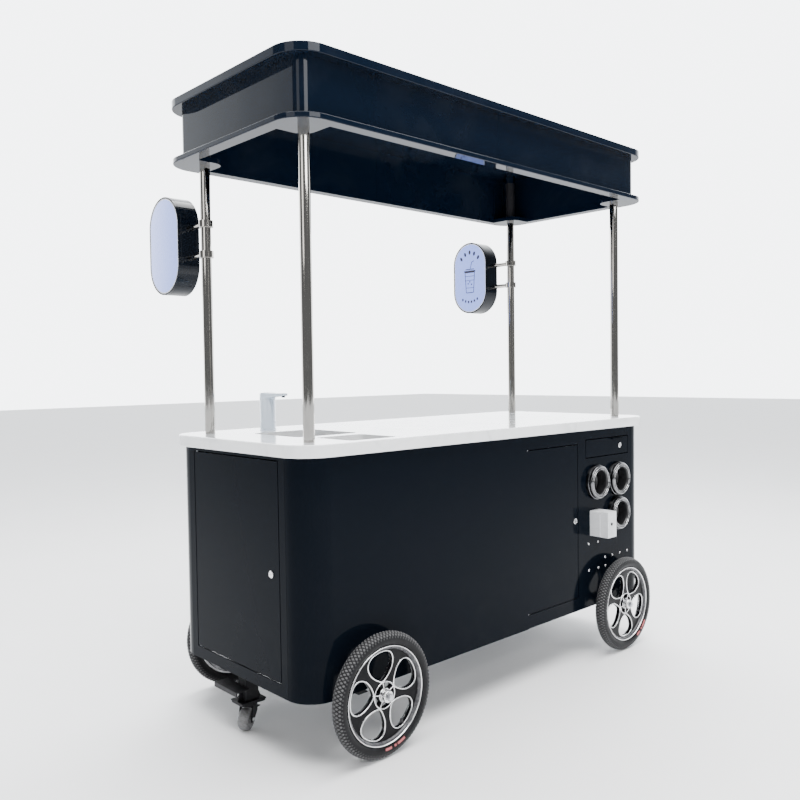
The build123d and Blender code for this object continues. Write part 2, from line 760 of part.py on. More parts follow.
# ---- power socket -------------------------------------------------------------------------------
socket_width = 72.0
socket_height = 110.0
socket_depth = 50.0
socket_x = 581.0
socket_z = 521.0
cover_depth = 38.0
cover_wall = 2.5
ear = 3.0
cover_pin_r = 1.5
cover_axis = 6.5
socket_face = front_y - socket_depth
cover_pin_y = socket_face - cover_axis
cover_pin_z = socket_z + socket_height - cover_axis
cover_width = socket_width - 2 * (ear + gap)
with BuildPart() as socket_box:
    with BuildSketch(front_plane(front_y)):
        with Locations((socket_x, socket_z + socket_height / 2)):
            RectangleRounded(socket_width, socket_height, 5)
    extrude(amount=socket_depth)
    with BuildSketch(front_plane(socket_face)):
        with Locations((socket_x, socket_z + socket_height / 2)):
            Circle(20)
    extrude(amount=-9, mode=Mode.SUBTRACT)
    with BuildSketch(front_plane(socket_face + 9)):
        with Locations((socket_x, socket_z + socket_height / 2)):
            with PolarLocations(9.5, 2):
                Circle(2.4)
            with PolarLocations(9.5, 1, 90):
                Circle(2.4)
    extrude(amount=-18, mode=Mode.SUBTRACT)
    for side in sides:
        with BuildSketch(side_plane(socket_x + side * (socket_width - ear) / 2 - ear / 2)):
            with Locations(((socket_face + cover_pin_y - 4) / 2, cover_pin_z)):
                Rectangle(cover_axis + 4, 8)
        extrude(amount=ear)
    with BuildSketch(side_plane(socket_x - socket_width / 2)):
        with Locations((cover_pin_y, cover_pin_z)):
            Circle(cover_pin_r)
    extrude(amount=socket_width)
save(socket_box, "socket_box")

cover_low = socket_z
cover_high = cover_pin_z + cover_axis - 0.5
cover_back = socket_face - 0.5
cover_face = socket_face - cover_depth
round_r = cover_axis - 0.5
with BuildPart() as socket_cover:
    with BuildSketch(side_plane(socket_x - cover_width / 2)):
        with BuildLine():
            Polyline((cover_back, cover_pin_z), (cover_back, cover_low), (cover_face, cover_low),
                     (cover_face, cover_high), (cover_pin_y, cover_high))
            RadiusArc((cover_pin_y, cover_high), (cover_back, cover_pin_z), round_r)
        make_face()
    extrude(amount=cover_width)
    with BuildSketch(side_plane(socket_x - cover_width / 2 + cover_wall)):
        with BuildLine():
            Polyline((cover_back + 1, cover_pin_z - 8), (cover_back + 1, cover_low + cover_wall),
                     (cover_face + cover_wall, cover_low + cover_wall),
                     (cover_face + cover_wall, cover_pin_z - 8), close=True)
        make_face()
    extrude(amount=cover_width - 2 * cover_wall, mode=Mode.SUBTRACT)
    with BuildSketch(side_plane(socket_x - cover_width)):
        with Locations((cover_pin_y, cover_pin_z)):
            Circle(cover_pin_r + fit)
    extrude(amount=2 * cover_width, mode=Mode.SUBTRACT)
save(socket_cover, "socket_cover")

with BuildPart() as panel_bolts:
    with BuildSketch(front_plane(front_y)):
        with Locations(bolt_spots):
            Circle(6.5)
    extrude(amount=3.5, taper=35)
    with BuildSketch(front_plane(front_y)):
        with Locations(bolt_spots):
            Circle(panel_bolt_r)
    extrude(amount=-14)
save(panel_bolts, "panel_bolts")

# ---- countertop, basins and tap -----------------------------------------------------------------
sink_size = (272.0, 290.0)
sink_mid = (-662.0, 20.0)
sink_depth = 150.0
sink_corner = 30.0
small_size = (206.0, 194.0)
small_mid = (-667.0, -277.0)
small_depth = 60.0
small_corner = 20.0
basin_wall = 1.5
basin_flange = 14.0
basin_reveal = 2.0            # basin set back behind the counter's cut edge
drain_r = 20.0
tap_spot = (-655.0, 271.0)
tap_r = 31.0
tap_height = 145.0
tap_cap = 24.0
tap_collar = 6.0              # collar that holds the tap from below the counter
spigot_low = 40.0             # bottom of the bore that the arm turns in
spigot_r = 12.0
arm_length = 120.0
button_r = 9.0
button_travel = 2.0

with BuildPart() as countertop:
    with BuildSketch(Plane.XY.offset(counter_bottom)):
        RectangleRounded(cart_length, cart_width, slab_corner)
    extrude(amount=counter_thick)
    fillet(countertop.faces().sort_by(Axis.Z)[-1].edges(), counter_round)
    chamfer(countertop.faces().sort_by(Axis.Z)[0].edges(), 1.5)
    with BuildSketch(Plane.XY.offset(counter_bottom - 1)):
        with Locations(post_spots):
            Circle(post_r + ease)
        with Locations(sink_mid):
            RectangleRounded(*sink_size, sink_corner)
        with Locations(small_mid):
            RectangleRounded(*small_size, small_corner)
        with Locations(tap_spot):
            Circle(tap_r + ease)
    extrude(amount=counter_thick + 2, mode=Mode.SUBTRACT)
save(countertop, "countertop")

basins = ((sink_mid, sink_size, sink_corner, sink_depth), (small_mid, small_size, small_corner, small_depth))
with BuildPart() as sink_basins:
    for middle, size, corner, depth in basins:
        inner_x = size[0] + 2 * basin_reveal
        inner_y = size[1] + 2 * basin_reveal
        round_in = corner + basin_reveal
        with BuildSketch(Plane.XY.offset(counter_bottom - depth - basin_wall)):
            with Locations(middle):
                RectangleRounded(inner_x + 2 * basin_wall, inner_y + 2 * basin_wall, round_in + basin_wall)
        extrude(amount=depth + basin_wall)
        with BuildSketch(Plane.XY.offset(counter_bottom - basin_wall)):
            with Locations(middle):
                RectangleRounded(inner_x + 2 * basin_flange, inner_y + 2 * basin_flange,
                                 round_in + basin_flange)
        extrude(amount=basin_wall)
        with BuildSketch(Plane.XY.offset(counter_bottom - depth)):
            with Locations(middle):
                RectangleRounded(inner_x, inner_y, round_in)
        extrude(amount=depth, mode=Mode.SUBTRACT)
    with BuildSketch(Plane.XY.offset(counter_bottom - sink_depth - 2 * basin_wall)):
        with Locations(sink_mid):
            Circle(drain_r)
    extrude(amount=sink_depth, mode=Mode.SUBTRACT)
save(sink_basins, "sink_basins")

with BuildPart() as tap_tower:
    with BuildSketch(Plane.XY.offset(counter_bottom)):
        with Locations(tap_spot):
            Circle(tap_r)
    extrude(amount=counter_thick + tap_height - tap_cap - gap)
    with BuildSketch(Plane.XY.offset(counter_bottom)):
        with Locations(tap_spot):
            Circle(tap_r + tap_collar)
    extrude(amount=-tap_collar)
    with BuildSketch(Plane.XY.offset(counter_top + spigot_low)):
        with Locations(tap_spot):
            Circle(spigot_r + fit)
    extrude(amount=tap_height, mode=Mode.SUBTRACT)
save(tap_tower, "tap_tower")

cap_low = counter_top + tap_height - tap_cap
tap_top = counter_top + tap_height
tip_y = tap_spot[1] - arm_length
with BuildPart() as tap_arm:
    with BuildSketch(Plane.XY.offset(cap_low)):
        with Locations(tap_spot):
            Circle(tap_r)
    extrude(amount=tap_cap)
    with BuildSketch(side_plane(tap_spot[0] - 15)):
        with BuildLine():
            Polyline((tap_spot[1], cap_low), (tap_spot[1], tap_top), (tip_y, tap_top + 2),
                     (tip_y, tap_top - 12), (tap_spot[1] - tap_r - 8, cap_low), close=True)
        make_face()
    extrude(amount=30)
    with BuildSketch(Plane.XY.offset(cap_low)):
        with Locations(tap_spot):
            Circle(spigot_r)
    extrude(amount=-30)
    with BuildSketch(Plane.XY.offset(tap_top - 22)):
        with Locations((tap_spot[0], tip_y + 12)):
            Circle(8)
    extrude(amount=12)
    with BuildSketch(Plane.XY.offset(tap_top)):
        with Locations(tap_spot):
            Circle(button_r + fit)
    extrude(amount=8, both=True, mode=Mode.SUBTRACT)
save(tap_arm, "tap_arm")

with BuildPart() as tap_button:
    with BuildSketch(Plane.XY.offset(tap_top - 8 + button_travel + gap)):
        with Locations(tap_spot):
            Circle(button_r)
    extrude(amount=8)
    fillet(tap_button.edges().filter_by(GeomType.CIRCLE).sort_by(Axis.Z)[-1], 1)
save(tap_button, "tap_button")

# ---- water --------------------------------------------------------------------------------------
tank_height = 300.0
tank_wall = 3.0
neck_r = 30.0
neck_height = 28.0
pipe_r = 16.0
clean_mid = (-665.0, 268.0)
tank_boxes = (((-745.0, 20.0), (370.0, 250.0), sink_mid), (clean_mid, (370.0, 200.0), clean_mid))
with BuildPart() as water_tanks:
    for middle, size, neck in tank_boxes:
        with BuildSketch(Plane.XY.offset(floor_top)):
            with Locations(middle):
                RectangleRounded(*size, 30)
        extrude(amount=tank_height)
        with BuildSketch(Plane.XY.offset(floor_top + tank_height)):
            with Locations(neck):
                Circle(neck_r)
        extrude(amount=neck_height)
        with BuildSketch(Plane.XY.offset(floor_top + tank_wall)):
            with Locations(middle):
                RectangleRounded(size[0] - 2 * tank_wall, size[1] - 2 * tank_wall, 27)
        extrude(amount=tank_height - 2 * tank_wall, mode=Mode.SUBTRACT)
        with BuildSketch(Plane.XY.offset(floor_top + tank_height - 10)):
            with Locations(neck):
                Circle(neck_r - tank_wall)
        extrude(amount=neck_height + 20, mode=Mode.SUBTRACT)
save(water_tanks, "water_tanks")

pipe_top = counter_bottom - sink_depth - basin_wall
pipe_low = floor_top + tank_height + 5
with BuildPart() as waste_pipe:
    with BuildSketch(Plane.XY.offset(pipe_low)):
        with Locations(sink_mid):
            Circle(pipe_r)
    extrude(amount=pipe_top - pipe_low)
    with BuildSketch(Plane.XY.offset(pipe_top - 10)):
        with Locations(sink_mid):
            Circle(drain_r + 8)
    extrude(amount=10)
    with BuildSketch(Plane.XY.offset(pipe_low)):
        with Locations(sink_mid):
            Circle(pipe_r - 2)
    extrude(amount=pipe_top - pipe_low, mode=Mode.SUBTRACT)
save(waste_pipe, "waste_pipe")

# ---- posts and canopy ---------------------------------------------------------------------------
collar_r = post_r + 7
collar_height = 60.0
sleeve_r = post_r + 3.5
post_top = roof_bottom - 4
with BuildPart() as posts:
    with BuildSketch(Plane.XY.offset(floor_top)):
        with Locations(post_spots):
            Circle(post_r)
            Circle(post_r - post_wall, mode=Mode.SUBTRACT)
    extrude(amount=post_top - floor_top)
save(posts, "posts")

with BuildPart() as post_sockets:
    with BuildSketch(Plane.XY.offset(floor_top)):
        with Locations(post_spots):
            Circle(collar_r)
            Circle(post_r + fit, mode=Mode.SUBTRACT)
    extrude(amount=collar_height)
    with BuildSketch(Plane.XY.offset(ring_top)):
        with Locations(post_spots):
            Circle(sleeve_r)
            Circle(post_r + fit, mode=Mode.SUBTRACT)
    extrude(amount=roof_bottom - ring_top)
save(post_sockets, "post_sockets")

opening_x = cart_length / 2 - ring_band_x
opening_y = cart_width / 2 - ring_band_y
web_x = post_x - 53           # inner corner of the web around each post
web_y = post_y - 61
web_round = 50.0
ring_round = 3.0


def on_web(vertex):
    """True for the inner corners of the webs around the posts."""
    return abs(abs(vertex.X) - web_x) < 1 and abs(abs(vertex.Y) - web_y) < 1


def on_rim(edge):
    """True for an edge on the outer outline of the cart's slabs."""
    middle = edge @ 0.5
    near_end = abs(middle.X) > cart_length / 2 - ring_band_x / 2
    near_side = abs(middle.Y) > cart_width / 2 - slab_corner / 3
    return near_end or near_side


with BuildPart() as canopy_ring:
    with BuildSketch(Plane.XY.offset(ring_bottom)) as ring_plan:
        RectangleRounded(cart_length, cart_width, slab_corner)
        Rectangle(2 * opening_x, 2 * opening_y, mode=Mode.SUBTRACT)
        for x, y in corners:
            with Locations((x * (web_x + opening_x + 1) / 2, y * (web_y + opening_y + 1) / 2)):
                Rectangle(opening_x + 1 - web_x, opening_y + 1 - web_y)
        fillet(ring_plan.vertices().filter_by(on_web), web_round)
        with Locations(post_spots):
            Circle(post_r + ease, mode=Mode.SUBTRACT)
    extrude(amount=ring_thick)
    fillet(canopy_ring.edges().filter_by(on_rim), ring_round)
save(canopy_ring, "canopy_ring")

fascia_wall = 3.0
fascia_out_x = opening_x + 1 + fascia_wall
fascia_out_y = opening_y + 1 + fascia_wall
fascia_round = 36.0
fascia_seam_x = -22.0
fascia_height = roof_bottom - ring_top
fascia_end_y = fascia_out_y - fascia_round
with BuildPart() as fascia_panels:
    with BuildSketch(Plane.XY.offset(ring_top)):
        RectangleRounded(2 * fascia_out_x, 2 * fascia_out_y, fascia_round)
        RectangleRounded(2 * (fascia_out_x - fascia_wall), 2 * (fascia_out_y - fascia_wall),
                         fascia_round - fascia_wall, mode=Mode.SUBTRACT)
        with Locations((fascia_seam_x, -fascia_out_y), (-fascia_seam_x, fascia_out_y)):
            Rectangle(seam, 3 * fascia_wall, mode=Mode.SUBTRACT)
        for x, y in corners:
            with Locations((x * fascia_out_x, y * fascia_end_y)):
                Rectangle(3 * fascia_wall, seam, mode=Mode.SUBTRACT)
    extrude(amount=fascia_height)
save(fascia_panels, "fascia_panels")

roof_skin = 3.0
roof_round = 3.0
with BuildPart() as roof_panel:
    with BuildSketch(Plane.XY.offset(roof_bottom)):
        RectangleRounded(cart_length, cart_width, slab_corner)
    extrude(amount=roof_thick)
    for level in (0, -1):
        fillet(roof_panel.faces().sort_by(Axis.Z)[level].edges(), roof_round)
    with BuildSketch(Plane.XY.offset(roof_bottom)):
        RectangleRounded(2 * (fascia_out_x - fascia_wall), 2 * (fascia_out_y - fascia_wall),
                         fascia_round - fascia_wall)
        with Locations(post_spots):
            Circle(sleeve_r + 2, mode=Mode.SUBTRACT)
    extrude(amount=roof_thick - roof_skin, mode=Mode.SUBTRACT)
save(roof_panel, "roof_panel")

# ---- signs --------------------------------------------------------------------------------------
face_thick = 4.0
face_inset = 1.0
clamp_r = post_r + 8
clamp_height = 24.0
sign_x = (-post_x, post_x)
with BuildPart() as sign_casings:
    for x in sign_x:
        with BuildSketch(side_plane(x - sign_depth / 2)):
            with Locations((sign_y, sign_z)):
                SlotOverall(sign_height, sign_width, rotation=90)
                SlotOverall(sign_height - 2 * sign_wall, sign_width - 2 * sign_wall, rotation=90,
                            mode=Mode.SUBTRACT)
        extrude(amount=sign_depth)
save(sign_casings, "sign_casings")

with BuildPart() as sign_faces:
    for x in sign_x:
        for start in (x - sign_depth / 2 + face_inset, x + sign_depth / 2 - face_inset - face_thick):
            with BuildSketch(side_plane(start)):
                with Locations((sign_y, sign_z)):
                    SlotOverall(sign_height - 2 * sign_wall, sign_width - 2 * sign_wall, rotation=90)
            extrude(amount=face_thick)
save(sign_faces, "sign_faces")

arm_start = post_y + post_r + 1
with BuildPart() as sign_arms:
    for x in sign_x:
        for z in (sign_z - arm_pitch / 2, sign_z + arm_pitch / 2):
            with BuildSketch(front_plane(sign_y - sign_width / 2)):
                with Locations((x, z)):
                    Circle(arm_r)
            extrude(amount=sign_y - sign_width / 2 - arm_start)
            with BuildSketch(Plane.XY.offset(z - clamp_height / 2)):
                with Locations((x, post_y)):
                    Circle(clamp_r)
            extrude(amount=clamp_height)
            with BuildSketch(Plane.XY.offset(z - clamp_height / 2)):
                with Locations((x, post_y)):
                    Circle(post_r + fit)
            extrude(amount=clamp_height, mode=Mode.SUBTRACT)
save(sign_arms, "sign_arms")
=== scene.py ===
"""Push vending cart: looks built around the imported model, laid out as an add-on and run as a script."""

import json
import math

import bmesh
import bpy
import numpy as np
from bpy.props import FloatProperty, FloatVectorProperty, IntProperty, PointerProperty
from mathutils import Matrix, Vector
from mathutils.geometry import tessellate_polygon

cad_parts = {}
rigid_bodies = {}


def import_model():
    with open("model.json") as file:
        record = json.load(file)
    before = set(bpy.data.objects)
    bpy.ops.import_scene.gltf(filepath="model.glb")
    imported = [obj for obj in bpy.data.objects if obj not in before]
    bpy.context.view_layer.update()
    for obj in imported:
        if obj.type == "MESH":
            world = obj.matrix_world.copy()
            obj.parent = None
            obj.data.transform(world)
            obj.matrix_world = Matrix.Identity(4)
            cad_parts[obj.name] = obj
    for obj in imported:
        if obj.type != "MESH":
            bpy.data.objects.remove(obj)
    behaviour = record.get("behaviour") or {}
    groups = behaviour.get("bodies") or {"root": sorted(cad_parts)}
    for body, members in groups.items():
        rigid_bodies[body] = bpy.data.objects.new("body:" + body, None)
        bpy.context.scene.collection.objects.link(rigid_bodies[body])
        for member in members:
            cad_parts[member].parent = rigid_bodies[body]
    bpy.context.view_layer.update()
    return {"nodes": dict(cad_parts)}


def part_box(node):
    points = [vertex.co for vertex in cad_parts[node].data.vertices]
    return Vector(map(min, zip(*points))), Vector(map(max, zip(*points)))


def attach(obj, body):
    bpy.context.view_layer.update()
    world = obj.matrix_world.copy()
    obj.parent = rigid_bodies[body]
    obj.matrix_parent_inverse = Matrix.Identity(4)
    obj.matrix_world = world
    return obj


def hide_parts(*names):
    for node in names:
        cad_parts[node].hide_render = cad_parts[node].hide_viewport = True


bl_info = {
    "name": "Push Vending Cart",
    "version": (1, 0, 0),
    "blender": (4, 5, 0),
    "location": "3D View > Sidebar > Cart",
    "description": "Builds the detailed pieces, finishes and studio of a push vending cart",
    "category": "Add Mesh",
}

for leftover in list(bpy.data.objects):
    bpy.data.objects.remove(leftover)
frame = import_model()
nodes = frame["nodes"]
TAU = 2 * math.pi


def ends(node):
    """Lowest and highest corner of a CAD node as arrays."""
    low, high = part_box(node)
    return np.array(low), np.array(high)


def centre(node):
    """Middle of a CAD node's box."""
    low, high = ends(node)
    return (low + high) / 2


def vertices(node):
    """All points of a CAD node's mesh, one row each."""
    mesh = nodes[node].data
    points = np.empty(len(mesh.vertices) * 3)
    mesh.vertices.foreach_get("co", points)
    return points.reshape(-1, 3)


def stacked(*parts):
    """Arrays spread to one common shape and stacked as coordinates."""
    return np.stack(np.broadcast_arrays(*parts), axis=-1)


counter_low, counter_high = ends("countertop")
MID_Y = (counter_low[1] + counter_high[1]) / 2
PANEL_FACE = ends("front_right_panel")[0][1]
BODY_LEFT = ends("end_panels")[0][0]
WHEEL_R = (ends("tyre_front_left")[1][2] - ends("tyre_front_left")[0][2]) / 2
WHEELS = ("front_left", "front_right", "rear_left", "rear_right")
CUPS = ("cup_pusher_1", "cup_pusher_2", "cup_pusher_3")


# ---- surfaces ---------------------------------------------------------------------------------

def grid(points, wrap_u=False, wrap_v=False):
    """Quads over an array of points (rows along u, columns along v); either way may close on itself."""
    nu, nv = points.shape[:2]
    i = np.arange(nu if wrap_u else nu - 1)[:, None]
    j = np.arange(nv if wrap_v else nv - 1)[None, :]
    i1, j1 = (i + 1) % nu, (j + 1) % nv
    quads = stacked(i * nv + j, i1 * nv + j, i1 * nv + j1, i * nv + j1).reshape(-1, 4)
    return points.reshape(-1, 3), quads.tolist()


def basis(direction):
    """Two unit directions square to the given one, and the one itself, as the rows of a matrix."""
    w = np.array(direction, float)
    w /= np.linalg.norm(w)
    ref = np.array((0, 0, 1.0)) if abs(w[2]) < 0.9 else np.array((1.0, 0, 0))
    u = np.cross(ref, w)
    u /= np.linalg.norm(u)
    return np.stack([u, np.cross(w, u), w])


def place(local, origin, axes):
    """Local (u, v, w) coordinates to the cart's: origin + u times the first axis, and so on."""
    return np.asarray(origin, float) + local @ np.asarray(axes, float)


FRONT = np.array([(1, 0, 0), (0, 0, 1), (0, -1, 0)], float)    # u along X, v up, w out of the front
BACK = np.array([(-1, 0, 0), (0, 0, 1), (0, 1, 0)], float)
LEFT = np.array([(0, -1, 0), (0, 0, 1), (-1, 0, 0)], float)
RIGHT = np.array([(0, 1, 0), (0, 0, 1), (1, 0, 0)], float)
UP = np.eye(3)


def lathe(profile, origin, direction, steps=96, start=0.0, sweep=TAU):
    """Profile of (radius, height) pairs turned round an axis: radius times (cos a, sin a), then height."""
    profile = np.array(profile, float)
    full = abs(sweep - TAU) < 1e-9
    a = start + np.linspace(0, sweep, steps, endpoint=not full)[None, :]
    r, h = profile[:, :1], profile[:, 1:]
    local = stacked(r * np.cos(a), r * np.sin(a), h)
    return grid(place(local, origin, basis(direction)), wrap_v=full)


def closed_lathe(profile, origin, direction, steps=96):
    """Lathe whose profile also closes on itself, which makes a ring."""
    profile = list(profile)
    return lathe(profile + profile[:1], origin, direction, steps)


def mirrored(half):
    """Profile followed by its own mirror image in height, in one run."""
    return half + [(r, -h) for r, h in reversed(half)]


def box_outline(width, height, radius, centre_at=(0, 0), steps=8):
    """Rounded rectangle, anticlockwise: four quarter circles joined by straight sides."""
    radius = max(radius, 1e-5)
    a = np.radians(np.concatenate([np.linspace(0, 90, steps) + 90 * k for k in range(4)]))
    corner = np.repeat([(1, 1), (-1, 1), (-1, -1), (1, -1)], steps, axis=0)
    x = corner[:, 0] * (width / 2 - radius) + radius * np.cos(a)
    y = corner[:, 1] * (height / 2 - radius) + radius * np.sin(a)
    points = stacked(x, y)
    keep = np.linalg.norm(points - np.roll(points, 1, 0), axis=1) > 1e-7
    return points[keep] + np.array(centre_at)


def ring_outline(radius, steps=64, centre_at=(0, 0)):
    """Circle, anticlockwise."""
    a = np.linspace(0, TAU, steps, endpoint=False)
    return stacked(radius * np.cos(a), radius * np.sin(a)) + np.array(centre_at)


def inward(outline):
    """Mitred inward normals of a closed anticlockwise outline."""
    after = np.roll(outline, -1, 0) - outline
    after /= np.linalg.norm(after, axis=1)[:, None]
    before = np.roll(after, 1, 0)
    n1 = stacked(-before[:, 1], before[:, 0])
    n2 = stacked(-after[:, 1], after[:, 0])
    return (n1 + n2) / np.maximum(1 + (n1 * n2).sum(1), 0.2)[:, None]


def carry(outline, profile, origin, axes, closed=False):
    """Profile of (inset, height) pairs carried round a closed outline: each point moves in by the inset."""
    profile = np.array(list(profile) + (list(profile[:1]) if closed else []), float)
    flat = outline[None] + profile[:, 0][:, None, None] * inward(outline)[None]
    high = np.broadcast_to(profile[:, 1][:, None, None], flat.shape[:2] + (1,))
    return grid(place(np.concatenate([flat, high], axis=-1), origin, axes), wrap_v=True)


def plate(outlines, profile, origin, axes):
    """Solid plate: the profile is carried round an outer outline and its holes (clockwise), and the
    two flat faces between the outlines are filled."""
    profile = np.array(profile, float)
    verts, faces, base = [], [], 0
    for outline in outlines:
        v, f = carry(outline, profile, origin, axes)
        verts.append(v)
        faces += [[k + base for k in q] for q in f]
        base += len(v)
    for row in (0, len(profile) - 1):
        loops, index, at = [], [], 0
        for outline in outlines:
            n = len(outline)
            flat = outline + profile[row, 0] * inward(outline)
            loops.append([Vector((p[0], p[1], 0)) for p in flat])
            index += list(range(at + row * n, at + row * n + n))
            at += len(profile) * n
        faces += [[index[k] for k in tri] for tri in tessellate_polygon(loops)]
    return np.concatenate(verts), faces


def eased(low, high, radius, steps=4):
    """Plate profile with a quarter round of the radius at both edges."""
    a = np.linspace(0, math.pi / 2, steps + 1)
    up = stacked(radius * (1 - np.sin(a)), low + radius * (1 - np.cos(a)))
    down = stacked(radius * (1 - np.sin(a)), high - radius * (1 - np.cos(a)))[::-1]
    return np.concatenate([up, down])


def tube(path, radius, steps=16, up=(0, 0, 1)):
    """Round bar: a circle square to the path at each of its points, closed at both ends."""
    path = np.array(path, float)
    radius = np.broadcast_to(np.asarray(radius, float), (len(path),))
    along = np.gradient(path, axis=0)
    along /= np.linalg.norm(along, axis=1)[:, None]
    u = np.cross(along, up)
    u /= np.linalg.norm(u, axis=1)[:, None]
    v = np.cross(along, u)
    path = np.concatenate([path[:1], path, path[-1:]])
    u, v = (np.concatenate([d[:1], d, d[-1:]]) for d in (u, v))
    radius = np.concatenate([[0], radius, [0]])
    a = np.linspace(0, TAU, steps, endpoint=False)
    ring = np.cos(a)[None, :, None] * u[:, None] + np.sin(a)[None, :, None] * v[:, None]
    return grid(path[:, None] + radius[:, None, None] * ring, wrap_v=True)


def piece(name, surfaces, body, finish, stands_for=(), crease=35.0, uv=None, block=None):
    """Joins surfaces into one named piece that rides on a body: equal points are merged, faces turned
    outwards, and edges sharper than the crease angle stay sharp."""
    verts, faces, base = [], [], 0
    for v, f in surfaces:
        verts.append(v)
        faces += [[k + base for k in q] for q in f] if base else f
        base += len(v)
    mesh = bpy.data.meshes.new(name)
    mesh.from_pydata(np.concatenate(verts).tolist(), [], faces)
    if uv is not None:
        layer = mesh.uv_layers.new(name="UVMap")
        loops = np.empty(len(mesh.loops), np.int32)
        mesh.loops.foreach_get("vertex_index", loops)
        layer.data.foreach_set("uv", uv.reshape(-1, 2)[loops].astype(np.float32).ravel())
    # Per-point mask for the finish; on the tyres it marks the raised tread that the rubber paints lighter as
    # a painted highlight
    if block is not None:
        worn = mesh.attributes.new("block", "FLOAT", "POINT")
        worn.data.foreach_set("value", block.astype(np.float32).ravel())
    work = bmesh.new()
    work.from_mesh(mesh)
    bmesh.ops.remove_doubles(work, verts=work.verts, dist=2e-6)
    bmesh.ops.dissolve_degenerate(work, edges=work.edges, dist=1e-7)
    bmesh.ops.recalc_face_normals(work, faces=work.faces)
    work.to_mesh(mesh)
    work.free()
    mesh.shade_smooth()
    mesh.set_sharp_from_angle(angle=math.radians(crease))
    mesh.materials.append(finish)
    made = bpy.data.objects.new(name, mesh)
    bpy.context.scene.collection.objects.link(made)
    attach(made, body)
    if stands_for:
        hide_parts(*stands_for)
    return made


def dress(finish, *names):
    """Gives kept CAD nodes their finish."""
    for name in names:
        nodes[name].data.materials.clear()
        nodes[name].data.materials.append(finish)


# ---- finishes ---------------------------------------------------------------------------------

made_finishes = {}


def socket_name(key):
    """Shader socket that a keyword stands for: specular_ior_level is Specular IOR Level."""
    return key.replace("_", " ").title().replace("Ior", "IOR")


class Finish:
    """One procedural material and short words for the nodes it is made of."""

    def __init__(self, name, colour, roughness=0.5, metallic=0.0, **sockets):
        self.material = bpy.data.materials.new(name)
        self.material.use_nodes = True
        self.tree = self.material.node_tree
        self.shader = next(n for n in self.tree.nodes if n.type == "BSDF_PRINCIPLED")
        self.shader.inputs["Base Color"].default_value = (*colour, 1)
        self.shader.inputs["Roughness"].default_value = roughness
        self.shader.inputs["Metallic"].default_value = metallic
        for key, value in sockets.items():
            self.shader.inputs[socket_name(key)].default_value = value
        self.space = self.tree.nodes.new("ShaderNodeTexCoord")
        made_finishes[name] = self.material

    def node(self, kind, links=(), **settings):
        """New node of a kind with its settings, and its inputs filled by links or values."""
        made = self.tree.nodes.new("ShaderNode" + kind)
        for key, value in settings.items():
            setattr(made, key, value)
        for key, value in dict(links).items():
            if hasattr(value, "is_output"):
                self.tree.links.new(value, made.inputs[key])
            else:
                made.inputs[key].default_value = value
        return made

    def at(self, scale=(1, 1, 1), turn=(0, 0, 0), move=(0, 0, 0), space="Object"):
        """Coordinates of the piece, scaled, turned and moved."""
        return self.node("Mapping", {"Vector": self.space.outputs[space], "Scale": scale, "Rotation": turn,
                                     "Location": move}).outputs[0]

    def noise(self, scale, detail=4.0, rough=0.5, where=None, distortion=0.0):
        """Cloudy noise, 0 to 1."""
        return self.node("TexNoise", {"Vector": where or self.at(), "Scale": scale, "Detail": detail,
                                      "Roughness": rough, "Distortion": distortion}).outputs[0]

    def cells(self, scale, where=None, feature="F1", out="Distance"):
        """Voronoi cells."""
        return self.node("TexVoronoi", {"Vector": where or self.at(), "Scale": scale},
                         feature=feature).outputs[out]

    def spread(self, value, low, high, to_low=0.0, to_high=1.0):
        """Maps a value from one range to another, clamped."""
        return self.node("MapRange", {"Value": value, "From Min": low, "From Max": high, "To Min": to_low,
                                      "To Max": to_high}).outputs[0]

    def sum(self, kind, a, b=0.5):
        """One sum of two values, such as ADD or MULTIPLY."""
        return self.node("Math", {0: a, 1: b}, operation=kind).outputs[0]

    def blend(self, amount, a, b):
        """Colour between a and b."""
        made = self.node("Mix", {"Factor": amount}, data_type="RGBA")
        for key, value in ((6, a), (7, b)):
            if hasattr(value, "is_output"):
                self.tree.links.new(value, made.inputs[key])
            else:
                made.inputs[key].default_value = (*value, 1)
        return made.outputs[2]

    def paint(self, **sockets):
        """Links values into the shader's sockets."""
        for key, value in sockets.items():
            self.tree.links.new(value, self.shader.inputs[socket_name(key)])

    def coat(self, marks, share, ground, worn, roughness):
        """Ground colour that turns to the worn one by a share of the marks, with a roughness."""
        amount = self.sum("MULTIPLY", marks, share)
        self.paint(base_color=self.blend(amount, ground, worn), roughness=roughness)

    def relief(self, height, distance, strength=1.0, under=None):
        """Bump of the given depth in metres."""
        links = {"Height": height, "Distance": distance, "Strength": strength}
        if under is not None:
            links["Normal"] = under
        out = self.node("Bump", links).outputs[0]
        self.tree.links.new(out, self.shader.inputs["Normal"])
        return out

    def height(self):
        """Height above the floor."""
        return self.node("SeparateXYZ", {0: self.space.outputs["Object"]}).outputs["Z"]


def settings():
    """Colours that the panel sets."""
    return bpy.context.scene.cart_finish


def sizes():
    """Sizes that the panel sets."""
    return bpy.context.scene.cart_sizes


def finish(name):
    """The finish of that name, made on its first use."""
    return made_finishes.get(name) or FINISHES[name]().material


